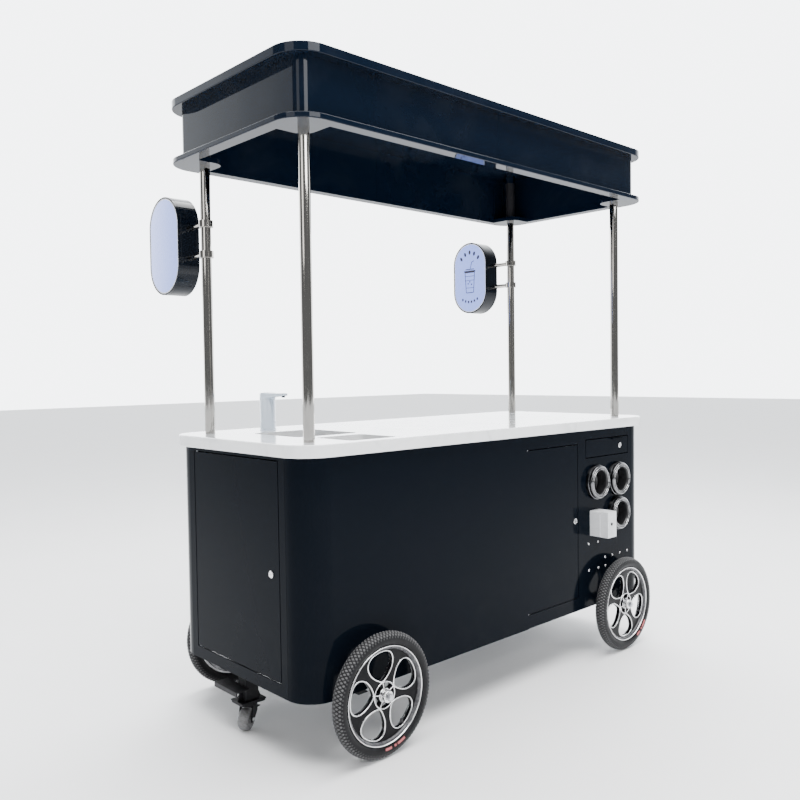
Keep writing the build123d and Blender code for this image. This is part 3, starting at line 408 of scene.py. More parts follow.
def gloss_panel():
    """Baked gloss paint on sheet steel: slight waviness, orange peel, wiped dust low down, fine specks."""
    m = Finish("black gloss steel", settings().panel_black, 0.09, specular_ior_level=0.03)
    dust = m.spread(m.noise(9, 6, 0.65), 0.48, 0.8)
    low = m.spread(m.height(), 0.5, 0.2)
    grime = m.sum("MULTIPLY", m.sum("ADD", m.sum("MULTIPLY", low, 0.55), 0.12), dust)
    specks = m.spread(m.noise(620, 2, 0.6), 0.72, 0.8)
    amount = m.sum("MAXIMUM", m.sum("MULTIPLY", grime, 0.03), m.sum("MULTIPLY", specks, 0.03))
    m.paint(base_color=m.blend(amount, tuple(settings().panel_black), (0.16, 0.15, 0.135)),
            roughness=m.sum("ADD", m.spread(m.noise(3.2, 5, 0.6), 0.3, 0.75, 0.04, 0.1),
                            m.sum("MULTIPLY", grime, 0.2)))
    wave = m.relief(m.noise(1.6, 1, 0.3), 0.0022, 0.5)
    peel = m.relief(m.noise(300, 2, 0.4), 0.00003, 0.45, wave)
    swirl = m.noise(28, 3, 0.5, m.at((1, 1, 18), (0.3, 0.1, 0.2)))
    m.relief(m.spread(swirl, 0.66, 0.72), 0.00001, 0.15, peel)
    return m


def gloss_board():
    """High-gloss navy-black board of the canopy: mirror-like, faint cloth swirls, dust on top."""
    m = Finish("black gloss board", settings().board_black, 0.05, specular_ior_level=0.18)
    haze = m.spread(m.noise(4, 6, 0.6, distortion=0.6), 0.5, 0.85)
    swirl = m.spread(m.noise(45, 3, 0.6, m.at((1, 9, 1), (0.1, 0, 0.5))), 0.62, 0.75)
    m.coat(haze, 0.035, tuple(settings().board_black), (0.2, 0.2, 0.2),
           roughness=m.sum("ADD", m.spread(haze, 0, 1, 0.035, 0.12), m.sum("MULTIPLY", swirl, 0.03)))
    wave = m.relief(m.noise(2.1, 1, 0.3), 0.001, 0.4)
    m.relief(m.noise(260, 2, 0.4), 0.00002, 0.35, wave)
    return m


def polished_tube():
    """Polished stainless tube: warm grey, lengthwise draw lines, cloudy fingerprints."""
    m = Finish("polished stainless", (0.42, 0.4, 0.37), 0.1, 1.0)
    lines = m.noise(420, 3, 0.6, m.at((1, 1, 0.012)))
    prints = m.spread(m.noise(14, 5, 0.7, m.at((1, 1, 0.5))), 0.45, 0.75)
    m.coat(prints, 0.5, (0.52, 0.5, 0.47), (0.34, 0.325, 0.3),
           roughness=m.sum("ADD", m.sum("MULTIPLY", lines, 0.1), m.sum("MULTIPLY", prints, 0.1)))
    m.relief(lines, 0.00002, 0.5)
    return m


def bright_chrome():
    """Bright plate with faint water marks and hairline scratches."""
    m = Finish("bright chrome", (0.78, 0.78, 0.79), 0.07, 1.0)
    marks = m.spread(m.noise(70, 5, 0.7), 0.55, 0.75)
    hair = m.spread(m.noise(260, 2, 0.5, m.at((1, 14, 1), (0.4, 0.3, 0.9))), 0.66, 0.72)
    m.coat(marks, 0.25, (0.7, 0.7, 0.71), (0.5, 0.5, 0.5),
           roughness=m.sum("ADD", m.spread(marks, 0, 1, 0.05, 0.12), m.sum("MULTIPLY", hair, 0.1)))
    m.relief(hair, 0.00001, 0.3)
    return m


def chrome_painted_dark():
    """Chrome of the dispenser rings with its colour darkened as a painted reflection of dark surroundings,
    with fine turned lines and dull marks.
    """
    # Base colours far below bright chrome: painted dark reflection on the dispenser rings
    m = Finish("chrome darkened as painted reflection", (0.1, 0.1, 0.105), 0.16, 1.0)
    marks = m.spread(m.noise(60, 5, 0.7), 0.5, 0.75)
    turned_lines = m.noise(600, 2, 0.5, m.at((0.06, 1, 0.06)))
    m.coat(marks, 0.2, (0.13, 0.13, 0.135), (0.06, 0.06, 0.065),
           roughness=m.sum("ADD", m.spread(marks, 0, 1, 0.12, 0.16), m.sum("MULTIPLY", turned_lines, 0.08)))
    m.relief(turned_lines, 0.00001, 0.2)
    return m


def marble_counter():
    """White solid surface with soft grey clouds, thin branching veins and a polished coat."""
    s = settings()
    m = Finish("marbled counter", s.counter_white, 0.12, coat_weight=0.4, coat_roughness=0.05)
    bend = m.noise(2.3, 5, 0.6)
    where = m.node("MixRGB", {0: 0.16, 1: m.at(), 2: m.node("TexNoise", {
        "Vector": m.at(), "Scale": 3.1, "Detail": 6.0}).outputs[1]}, blend_type="ADD").outputs[0]
    edge = m.cells(3.4, where, "DISTANCE_TO_EDGE")
    fine = m.cells(9.0, where, "DISTANCE_TO_EDGE")
    vein = m.sum("MULTIPLY", m.spread(edge, 0.0, 0.045, 1.0, 0.0), m.spread(bend, 0.42, 0.7))
    thin = m.sum("MULTIPLY", m.spread(fine, 0.0, 0.02, 1.0, 0.0), m.spread(m.noise(4.5, 3), 0.5, 0.72))
    cloud = m.spread(m.noise(5.5, 7, 0.62, distortion=0.8), 0.46, 0.8)
    shade = m.sum("ADD", m.sum("MULTIPLY", vein, 0.42), m.sum("ADD", m.sum("MULTIPLY", thin, 0.24),
                                                              m.sum("MULTIPLY", cloud, 0.3)))
    m.paint(base_color=m.blend(shade, tuple(s.counter_white), tuple(s.vein_grey)),
            roughness=m.spread(m.noise(11, 4, 0.6), 0.3, 0.8, 0.08, 0.22))
    m.relief(m.noise(180, 2), 0.00002, 0.2)
    return m


def sink_sheet():
    """Satin stainless sheet, brushed along the cart, with soft water stains."""
    m = Finish("satin sink steel", (0.3, 0.3, 0.3), 0.24, 1.0)
    brushed = m.noise(520, 3, 0.6, m.at((0.03, 1, 1)))
    stain = m.spread(m.noise(22, 6, 0.7, distortion=1.2), 0.5, 0.7)
    m.coat(stain, 0.4, (0.3, 0.3, 0.3), (0.18, 0.18, 0.175),
           roughness=m.sum("ADD", m.spread(brushed, 0.3, 0.7, 0.18, 0.34), m.sum("MULTIPLY", stain, 0.12)))
    m.relief(brushed, 0.00002, 0.6)
    return m


def tyre_rubber():
    """Black rubber: tops of the tread's blocks painted grey as a painted highlight, varied by dust; grooves
    kept black as painted shade; dark wall with moulded lines.
    """
    m = Finish("tyre rubber with painted tread highlight and shade", (0.008, 0.008, 0.009), 0.7, specular_ior_level=0.16)
    v = m.node("SeparateXYZ", {0: m.space.outputs["UV"]}).outputs["Y"]
    tread = m.spread(m.sum("ABSOLUTE", m.sum("SUBTRACT", v, 0.5)), 0.21, 0.17)
    # top: mask of the raised tread blocks, which sets where the painted highlight falls
    top = m.node("Attribute", attribute_name="block").outputs["Fac"]
    dust = m.spread(m.noise(95, 6, 0.7), 0.3, 0.75, 0.65, 1.0)
    wall = m.spread(m.noise(34, 6, 0.7), 0.5, 0.85, 0.0, 0.08)
    # worn: painted highlight on raised block tops and ribs (varied by dust) plus real dust mottling on the
    # wall; grooves stay black as painted shade
    worn = m.sum("MAXIMUM", m.sum("MULTIPLY", top, dust), m.sum("MULTIPLY", m.spread(tread, 1, 0), wall))
    m.paint(base_color=m.blend(worn, (0.006, 0.006, 0.007), (0.13, 0.13, 0.133)),
            roughness=m.spread(worn, 0, 1, 0.45, 0.8))
    lines = m.node("TexWave", {"Vector": m.at((0, 1, 0), space="UV"), "Scale": 9.0}, bands_direction="Y")
    raised = m.relief(m.sum("MULTIPLY", lines.outputs[1], m.spread(tread, 1, 0)), 0.0005, 0.6)
    m.relief(m.noise(900, 2), 0.00008, 0.5, raised)
    return m


def wheel_black():
    """Satin black cast aluminium: fine grain with dusty corners."""
    m = Finish("satin wheel black", (0.003, 0.003, 0.004), 0.3, specular_ior_level=0.1)
    dust = m.spread(m.noise(38, 6, 0.7), 0.5, 0.8)
    m.coat(dust, 0.06, (0.003, 0.003, 0.004), (0.07, 0.07, 0.065),
           roughness=m.spread(dust, 0, 1, 0.28, 0.5))
    m.relief(m.noise(700, 2), 0.00005, 0.4)
    return m


def barrel_grey():
    """Painted well of the wheel: dark grey lacquer with brake dust."""
    m = Finish("barrel grey", (0.06, 0.06, 0.065), 0.28, specular_ior_level=0.45)
    dust = m.spread(m.noise(52, 6, 0.7), 0.45, 0.8)
    m.coat(dust, 0.3, (0.05, 0.05, 0.055), (0.16, 0.16, 0.155),
           roughness=m.spread(dust, 0, 1, 0.22, 0.5))
    m.relief(m.noise(640, 2), 0.00004, 0.4)
    return m


def machined_silver():
    """Bare machined aluminium: bright, with cutter marks and dull patches."""
    m = Finish("machined aluminium", (0.8, 0.8, 0.81), 0.22, 1.0)
    marks = m.noise(900, 2, 0.6, m.at((1, 0.05, 1)))
    dull = m.spread(m.noise(45, 5, 0.7), 0.5, 0.75)
    m.coat(dull, 0.4, (0.84, 0.84, 0.85), (0.5, 0.5, 0.5),
           roughness=m.sum("ADD", m.spread(marks, 0.3, 0.7, 0.14, 0.3), m.sum("MULTIPLY", dull, 0.15)))
    m.relief(marks, 0.00002, 0.5)
    return m


def zinc_plate():
    """Zinc-plated steel: pale blue-grey crystal flakes with dull edges."""
    m = Finish("zinc plated steel", (0.55, 0.56, 0.58), 0.35, 1.0)
    tone = m.node("RGBToBW", {0: m.cells(150.0, out="Color")}).outputs[0]
    m.paint(base_color=m.blend(m.spread(tone, 0.2, 0.8), (0.42, 0.43, 0.45), (0.66, 0.67, 0.7)),
            roughness=m.spread(tone, 0.1, 0.9, 0.26, 0.46))
    m.relief(m.noise(240, 3), 0.00003, 0.4)
    return m


def powder_black():
    """Textured black powder coat with road dust and a few rubbed spots."""
    m = Finish("black powder coat", (0.012, 0.012, 0.014), 0.5, specular_ior_level=0.2)
    rub = m.spread(m.noise(32, 6, 0.75), 0.58, 0.75)
    m.coat(rub, 0.25, (0.01, 0.01, 0.012), (0.1, 0.095, 0.088),
           roughness=m.spread(m.noise(12, 4), 0.3, 0.7, 0.4, 0.62))
    m.relief(m.cells(1100), 0.00006, 0.6)
    return m


def caster_tread():
    """Grey elastic caster tread, scuffed where it rolls."""
    m = Finish("grey caster tread", (0.17, 0.17, 0.175), 0.55)
    scuff = m.spread(m.noise(130, 6, 0.75, m.at((1, 0.25, 1))), 0.45, 0.7)
    m.paint(base_color=m.blend(scuff, (0.2, 0.2, 0.205), (0.1, 0.098, 0.095)),
            roughness=m.spread(scuff, 0, 1, 0.45, 0.75))
    m.relief(m.noise(500, 3), 0.00008, 0.6)
    return m


def white_gloss():
    """Glossy white moulding with a cool cast and the faintest flow marks."""
    m = Finish("glossy white moulding", (0.72, 0.77, 0.83), 0.18, coat_weight=0.3, coat_roughness=0.08)
    flow = m.spread(m.noise(24, 4, 0.6, m.at((1, 1, 0.3))), 0.4, 0.8)
    m.coat(flow, 0.4, (0.7, 0.79, 0.9), (0.6, 0.68, 0.78),
           roughness=m.spread(flow, 0, 1, 0.14, 0.26))
    m.relief(m.noise(160, 2), 0.00002, 0.3)
    return m


def white_satin():
    """Satin white moulding with a spark-eroded texture and handling marks."""
    m = Finish("satin white moulding", (0.66, 0.67, 0.69), 0.4)
    marks = m.spread(m.noise(46, 6, 0.7), 0.48, 0.75)
    m.coat(marks, 0.35, (0.7, 0.71, 0.73), (0.46, 0.46, 0.46),
           roughness=m.spread(marks, 0, 1, 0.34, 0.52))
    m.relief(m.noise(850, 2), 0.00005, 0.5)
    return m


def black_moulding():
    """Satin black plastic with moulded grain."""
    m = Finish("black moulding", (0.012, 0.012, 0.013), 0.38)
    wear = m.spread(m.noise(40, 6, 0.7), 0.55, 0.8)
    m.coat(wear, 0.3, (0.011, 0.011, 0.012), (0.07, 0.07, 0.07),
           roughness=m.spread(wear, 0, 1, 0.3, 0.5))
    m.relief(m.noise(760, 2), 0.00005, 0.5)
    return m


def casing_black():
    """Glossy black sign casing with fine dust."""
    m = Finish("glossy casing black", (0.003, 0.005, 0.009), 0.12, specular_ior_level=0.2)
    dust = m.spread(m.noise(80, 6, 0.7), 0.52, 0.8)
    m.coat(dust, 0.06, (0.003, 0.005, 0.009), (0.1, 0.1, 0.1),
           roughness=m.spread(dust, 0, 1, 0.09, 0.24))
    m.relief(m.noise(240, 2), 0.00003, 0.3)
    return m


def lit_lens():
    """Opal acrylic sheet lit from inside: even cool glow, a little brighter in soft bands."""
    s = settings()
    m = Finish("lit opal lens", s.lamp_tint, 0.25, coat_weight=0.3, coat_roughness=0.1)
    bands = m.spread(m.noise(7, 2, 0.4), 0.3, 0.7, 0.94, 1.0)
    tint = m.blend(bands, tuple(c * 0.9 for c in s.lamp_tint), tuple(s.lamp_tint))
    m.shader.inputs["Emission Strength"].default_value = s.lamp_strength
    m.paint(base_color=m.blend(m.noise(30), (0.06, 0.07, 0.2), (0.08, 0.09, 0.23)), emission_color=tint,
            roughness=m.spread(m.noise(60, 3), 0.3, 0.7, 0.2, 0.32))
    m.relief(m.noise(300, 2), 0.00002, 0.3)
    return m


def sign_ink():
    """Matt dark ink film."""
    m = Finish("dark sign ink", (0.02, 0.02, 0.05), 0.5)
    m.paint(base_color=m.blend(m.noise(200, 4), (0.012, 0.012, 0.035), (0.035, 0.035, 0.07)),
            roughness=m.spread(m.noise(90), 0.3, 0.7, 0.4, 0.6))
    m.relief(m.noise(700), 0.00001, 0.3)
    return m


def grey_board():
    """Melamine-faced board: pale grey with a soft pressed grain."""
    m = Finish("grey melamine board", (0.42, 0.42, 0.42), 0.5)
    grain = m.noise(60, 5, 0.6, m.at((0.06, 1, 1)), 0.5)
    m.paint(base_color=m.blend(m.spread(grain, 0.35, 0.7), (0.5, 0.49, 0.47), (0.36, 0.35, 0.33)),
            roughness=m.spread(grain, 0.3, 0.7, 0.42, 0.6))
    m.relief(grain, 0.0001, 0.5)
    return m


def milky_tank():
    """Milky blow-moulded tank with a cloudy wall and a soft sheen."""
    m = Finish("milky tank plastic", (0.6, 0.66, 0.7), 0.35, subsurface_weight=0.2)
    m.shader.inputs["Subsurface Radius"].default_value = (0.02, 0.02, 0.02)
    cloud = m.noise(9, 5, 0.6)
    m.paint(base_color=m.blend(m.spread(cloud, 0.3, 0.75), (0.66, 0.71, 0.74), (0.5, 0.56, 0.62)),
            roughness=m.spread(m.noise(40), 0.3, 0.7, 0.28, 0.45))
    m.relief(m.noise(140, 3), 0.0001, 0.4)
    return m


def mark_red():
    """Printed mark on the tyre wall."""
    m = Finish("tyre wall mark", (0.5, 0.12, 0.12), 0.6)
    m.paint(base_color=m.blend(m.noise(260, 4), (0.55, 0.13, 0.14), (0.35, 0.1, 0.1)),
            roughness=m.spread(m.noise(90), 0.3, 0.7, 0.5, 0.7))
    m.relief(m.noise(900), 0.00002, 0.4)
    return m


FINISHES = {
    "black gloss steel": gloss_panel, "black gloss board": gloss_board,
    "polished stainless": polished_tube, "bright chrome": bright_chrome, "chrome darkened as painted reflection": chrome_painted_dark,
    "marbled counter": marble_counter, "satin sink steel": sink_sheet,
    "tyre rubber with painted tread highlight and shade": tyre_rubber, "satin wheel black": wheel_black,
    "machined aluminium": machined_silver, "barrel grey": barrel_grey, "zinc plated steel": zinc_plate,
    "black powder coat": powder_black, "grey caster tread": caster_tread,
    "glossy white moulding": white_gloss, "satin white moulding": white_satin,
    "black moulding": black_moulding, "glossy casing black": casing_black,
    "lit opal lens": lit_lens, "dark sign ink": sign_ink, "grey melamine board": grey_board,
    "milky tank plastic": milky_tank, "tyre wall mark": mark_red,
}


# ---- sizes and colours ------------------------------------------------------------------------

class CartSizes(bpy.types.PropertyGroup):
    """Sizes of the detailed pieces."""
    tread_depth: FloatProperty(name="Tread depth", description="Height of the tyre's diamond blocks",
                               default=0.0024, min=0, max=0.004, subtype="DISTANCE", unit="LENGTH")
    tread_count: IntProperty(name="Tread blocks", description="Diamond blocks round each tyre",
                             default=96, min=40, max=160)
    trim_width: FloatProperty(name="Trim width", description="Width of the bright line round each opening",
                              default=0.0042, min=0.002, max=0.01, subtype="DISTANCE", unit="LENGTH")


def colour(name, description, default):
    """Colour setting of the panel."""
    return FloatVectorProperty(name=name, description=description, default=default, subtype="COLOR",
                               min=0, max=1)


class CartFinish(bpy.types.PropertyGroup):
    """Colours of the finishes."""
    panel_black: colour("Panel black", "Paint of the body panels", (0.0022, 0.0038, 0.0068))
    board_black: colour("Canopy black", "Board of the canopy", (0.002, 0.0055, 0.013))
    counter_white: colour("Counter white", "Ground colour of the counter", (0.88, 0.89, 0.9))
    vein_grey: colour("Vein grey", "Veins of the counter", (0.5, 0.52, 0.54))
    lamp_tint: colour("Sign glow", "Light of the signs", (0.3, 0.42, 1.0))
    lamp_strength: FloatProperty(name="Sign strength", description="How brightly the signs glow",
                                 default=1.7, min=0, max=10)


# ---- wheels -----------------------------------------------------------------------------------

TYRE_SECTION_R = 0.025
SPOKES = 5
OPENING_START = math.radians(98)
WHEEL_TURN = {"front_left": 0.0, "front_right": 0.5, "rear_left": 1.1, "rear_right": 0.3}


def wheel_frame(spot):
    """Centre of a wheel and the axes of its outer face."""
    return centre(f"rim_{spot}"), FRONT if spot.startswith("front") else BACK


def turned(axes, angle):
    """Axes turned about their third one."""
    c, s = math.cos(angle), math.sin(angle)
    return np.array([(c, s, 0), (-s, c, 0), (0, 0, 1)]) @ axes


def tyre_surface(spot, depth, count):
    """Tyre: a round section turned about the axle. On the crown the section grows by the tread depth
    where two sets of slanting grooves leave diamond blocks, on the shoulders by short ribs, and it
    is cut flat where it sits in the rim."""
    middle, axes = wheel_frame(spot)
    section = TYRE_SECTION_R
    seat, half_width = 0.1565, 0.0248      # where the bead sits in the rim, and the widest reach
    u = np.linspace(0, TAU, count * 8, endpoint=False)[:, None]
    v = np.radians(np.concatenate([np.linspace(-62, 62, 31), np.linspace(66, 100, 9),
                                   np.linspace(108, 252, 9), np.linspace(260, 294, 9)]))[None, :]
    crown = WHEEL_R - section
    pitch = TAU * WHEEL_R / count
    along, across = u * WHEEL_R / pitch, v * section / pitch
    left = np.abs(((along + across * 0.62) % 1) - 0.5) * 2
    right = np.abs(((along - across * 0.62) % 1) - 0.5) * 2
    block = np.clip((0.74 - np.maximum(left, right)) / 0.2, 0, 1)
    block = block * block * (3 - 2 * block)
    top = np.clip((np.radians(60) - np.abs(v)) / np.radians(5), 0, 1)
    side = np.where(v > math.pi, v - TAU, v)
    rib = np.clip(1 - np.abs(np.abs(side) - np.radians(68)) / np.radians(9), 0, 1)
    ribs = rib * np.clip(1.6 * np.cos(TAU * along + np.sign(side)), 0, 1)
    size = section - depth + depth * (block * top + 0.75 * ribs * (1 - top))
    wall_ring = 0.0006 * np.exp(-((np.abs(side) - np.radians(112)) / np.radians(5)) ** 2)
    size = size + wall_ring
    reach = np.maximum(crown + size * np.cos(v), seat)
    wide = np.clip(size * np.sin(v), -half_width, half_width)
    local = stacked(reach * np.cos(u), reach * np.sin(u), wide)
    uv = stacked(u / TAU, side / TAU + 0.5)
    # Mask of raised block tops and shoulder ribs: the rubber finish paints it lighter as a painted highlight
    # and leaves the grooves dark as painted shade
    worn = block * top + 0.6 * ribs * (1 - top)
    return grid(place(local, middle, axes), wrap_u=True, wrap_v=True), uv, worn


def opening_outline(tip=0.0465, end=0.1445, spread=28.8, count=72):
    """Teardrop about a ray: the radius swings between tip and end as the angle swings either side."""
    t = np.linspace(0, TAU, count, endpoint=False)
    radius = (end + tip) / 2 + (end - tip) / 2 * np.cos(t)
    full = np.where(np.cos(t) > 0, 0.6, 1.0)
    angle = np.radians(spread) * np.sign(np.sin(t)) * np.abs(np.sin(t)) ** full
    return stacked(radius * np.cos(angle), radius * np.sin(angle))


def window_outline(inner=0.025, outer=0.0405, spread=25.0):
    """Sector between two radii with a quarter-turned corner at each end."""
    a = np.radians(np.linspace(-spread, spread, 11))
    low = stacked(inner * np.cos(a * 0.8), inner * np.sin(a * 0.8))
    high = stacked(outer * np.cos(a), outer * np.sin(a))
    return np.concatenate([low[::-1], high])[::-1]


def spun(outline, angle):
    """Outline turned about the origin."""
    c, s = math.cos(angle), math.sin(angle)
    return outline @ np.array([(c, s), (-s, c)])


def anticlockwise(outline):
    """The outline, reversed if it runs clockwise."""
    after = np.roll(outline, -1, 0)
    area = (outline[:, 0] * after[:, 1] - after[:, 0] * outline[:, 1]).sum()
    return outline if area > 0 else outline[::-1]


def trim_profile(width, low, high, start=0.0):
    """Closed half-round strip profile of the given width."""
    a = np.linspace(0, math.pi, 9)
    arc = [(start + width / 2 - width / 2 * math.cos(k), low + (high - low) * math.sin(k) ** 0.7) for k in a]
    return [(start, low - 0.001)] + arc + [(start + width, low - 0.001)]


def wall_mark(middle, axes, start, sweep):
    """Thin printed band on the tyre wall: an arc of a shallow closed profile."""
    a = np.linspace(0, 1, 15)
    reach = np.array([0.1675, 0.1745, 0.1745, 0.1675, 0.1675])
    out = np.array([0.0222, 0.0243, 0.0249, 0.0230, 0.0222])
    angle = start + sweep * a[:, None]
    local = stacked(reach * np.cos(angle), reach * np.sin(angle), out)
    start_point, end_point = (row.mean(1, keepdims=True).repeat(5, 1) for row in (local[:1], local[-1:]))
    return grid(place(np.concatenate([start_point, local, end_point]), middle, axes))


class CART_OT_tyres(bpy.types.Operator):
    """Tyres with diamond tread and plain wall marks"""
    bl_idname = "cart.tyres"
    bl_label = "Tyres"

    def execute(self, context):
        s = sizes()
        for spot in WHEELS:
            surface, uv, block = tyre_surface(spot, s.tread_depth, s.tread_count)
            piece(f"tread_{spot}", [surface], f"wheel_{spot}", finish("tyre rubber with painted tread highlight and shade"),
                  [f"tyre_{spot}"], crease=60, uv=uv, block=block)
            middle, axes = wheel_frame(spot)
            turn = WHEEL_TURN[spot]
            marks = [wall_mark(middle, axes, math.radians(start) + turn, math.radians(sweep))
                     for start, sweep in ((-94, 9), (-81, 3), (-76, 11))]
            piece(f"wall_mark_{spot}", marks, f"wheel_{spot}", finish("tyre wall mark"))
        return {"FINISHED"}


class CART_OT_rims(bpy.types.Operator):
    """Cast wheels: black disc with five teardrop openings, bright trims, barrel, valve and hub"""
    bl_idname = "cart.rims"
    bl_label = "Wheels"

    def execute(self, context):
        for spot in WHEELS:
            middle, axes = wheel_frame(spot)
            drops = [spun(opening_outline(), TAU * k / SPOKES) for k in range(SPOKES)]
            own = turned(axes, OPENING_START + WHEEL_TURN[spot])
            self.casting(spot, middle, own, drops)
            self.trims(spot, middle, own, drops)
            self.hub(spot, middle, axes[2])
            self.valve(spot, middle, axes)
        dress(finish("zinc plated steel"), "axles", "axle_nuts")
        dress(finish("black powder coat"), "axle_brackets", "chassis", "floor_panel")
        return {"FINISHED"}

    def casting(self, spot, middle, own, drops):
        """Disc: a ring-shaped plate with the openings and small windows cut out, and the turned well."""
        windows = [spun(window_outline(), TAU * (k + 0.5) / SPOKES) for k in range(SPOKES)]
        holes = [anticlockwise(h)[::-1] for h in drops + windows]
        disc = plate([ring_outline(0.1525, 120)] + holes + [ring_outline(0.019, 48)[::-1]],
                     eased(-0.0078, 0.0078, 0.0022), middle, own)
        well = closed_lathe([(0.1575, -0.018), (0.1485, -0.018), (0.1475, -0.016), (0.1475, 0.0045),
                             (0.1482, 0.0110), (0.1510, 0.0152), (0.1540, 0.0168), (0.1566, 0.0172),
                             (0.1575, 0.0150)], middle, own[2], 160)
        body = f"wheel_{spot}"
        piece(f"wheel_disc_{spot}", [disc], body, finish("satin wheel black"), [f"rim_{spot}"],
              crease=40)
        piece(f"wheel_barrel_{spot}", [well], body, finish("barrel grey"), crease=40)

    def trims(self, spot, middle, own, drops):
        """Bright half-round strips round the openings and the hub, short rays and the two lips."""
        width = sizes().trim_width
        trims = []
        for face in (1, -1):
            side = own * np.array([[1], [face], [face]])
            for outline in drops:
                flat = anticlockwise(outline * np.array([1, face]))
                trims.append(carry(flat, trim_profile(width, 0.0074, 0.0096, -width / 2), middle, side,
                                   closed=True))
            trims.append(carry(ring_outline(0.0452, 90), trim_profile(0.0038, 0.0076, 0.0102), middle, side,
                               closed=True))
            for a in TAU * np.arange(SPOKES) / SPOKES:
                r = np.linspace(0.0205, 0.0425, 6)
                path = stacked(r * math.cos(a), r * math.sin(a) * face, 0.0082)
                trims.append(tube(place(path, middle, side), 0.0019, 10, up=side[2]))
        lip = closed_lathe([(0.1566, 0.0150), (0.1568, 0.0178), (0.1578, 0.0190), (0.1596, 0.0192),
                            (0.1606, 0.0180), (0.1606, 0.0150)], middle, own[2], 160)
        inner_lip = closed_lathe([(0.1530, -0.0182), (0.1592, -0.0188), (0.1606, -0.0176),
                                  (0.1606, -0.0150), (0.1565, -0.0140)], middle, own[2], 160)
        piece(f"wheel_trim_{spot}", trims + [lip, inner_lip], f"wheel_{spot}", finish("machined aluminium"),
              crease=40)

    def hub(self, spot, middle, out):
        """Turned hub shell, hollow for the axle."""
        shell = [(0.0080, -0.0296), (0.0165, -0.0296), (0.0190, -0.0280), (0.0190, -0.0120),
                 (0.0225, -0.0085), (0.0225, 0.0085), (0.0205, 0.0100), (0.0200, 0.0145), (0.0186, 0.0155),
                 (0.0186, 0.0175), (0.0200, 0.0185), (0.0200, 0.0262), (0.0185, 0.0288), (0.0165, 0.0294),
                 (0.0160, 0.0280), (0.0110, 0.0280), (0.0105, 0.0294), (0.0080, 0.0294)]
        piece(f"hub_shell_{spot}", [closed_lathe(shell, middle, out, 72)], f"wheel_{spot}",
              finish("machined aluminium"), [f"hub_{spot}"])

    def valve(self, spot, middle, axes):
        """Valve stem: a bar of changing radius that leans in from the well."""
        stem_at = turned(axes, OPENING_START + WHEEL_TURN[spot] + TAU * 3 / SPOKES - 0.16)
        reach, radius = np.array([(0.149, 0.0046), (0.1475, 0.0052), (0.142, 0.0044), (0.136, 0.0030),
                                  (0.1285, 0.0027), (0.128, 0.0034), (0.1195, 0.0034), (0.1185, 0.0026)]).T
        path = stacked(reach, 0.0, 0.004 + (0.149 - reach) * 0.22)
        piece(f"valve_{spot}", [tube(place(path, middle, stem_at), radius, 14, up=stem_at[1])],
              f"wheel_{spot}", finish("black moulding"))


# ---- caster -----------------------------------------------------------------------------------

CASTER_HALF = 0.020                            # half width of the roller
CASTER_AXLE = (0.559193, -0.829038, 0.0)       # square to the way the caster trails


class CART_OT_caster(bpy.types.Operator):
    """Swivel caster under the left end: tread, bolt, fork, brake and leg"""
    bl_idname = "cart.caster"
    bl_label = "Caster"

    def execute(self, context):
        wheel = centre("caster_wheel")
        low, high = ends("caster_wheel")
        r, half = (high[2] - low[2]) / 2, CASTER_HALF
        tread = mirrored([(0.0042, -half), (0.012, -half), (0.0135, -half + 0.003),
                          (0.021, -half + 0.003), (0.0235, -half + 0.0005), (r - 0.0065, -half + 0.001),
                          (r - 0.0020, -half + 0.0045), (r, -half + 0.010)])
        piece("caster_roller_tread", [closed_lathe(tread, wheel, CASTER_AXLE, 96)], "caster_roller",
              finish("grey caster tread"), ["caster_wheel"], crease=50)
        low, high = ends("caster_plate")
        under = high[2] - 0.005
        dome = [(0, -0.0045), (0.003, -0.0042), (0.0052, -0.0028), (0.006, 0), (0.0, 0)]
        bolts = [lathe(dome, (x, y, under), (0, 0, 1), 20) for x in (low[0] + 0.009, high[0] - 0.009)
                 for y in (low[1] + 0.009, high[1] - 0.009)]
        piece("caster_plate_bolts", bolts, "cart", finish("zinc plated steel"))
        dress(finish("zinc plated steel"), "caster_axle")
        dress(finish("black powder coat"), "caster_plate", "caster_fork", "caster_leg", "caster_brake")
        return {"FINISHED"}


# ---- body -------------------------------------------------------------------------------------

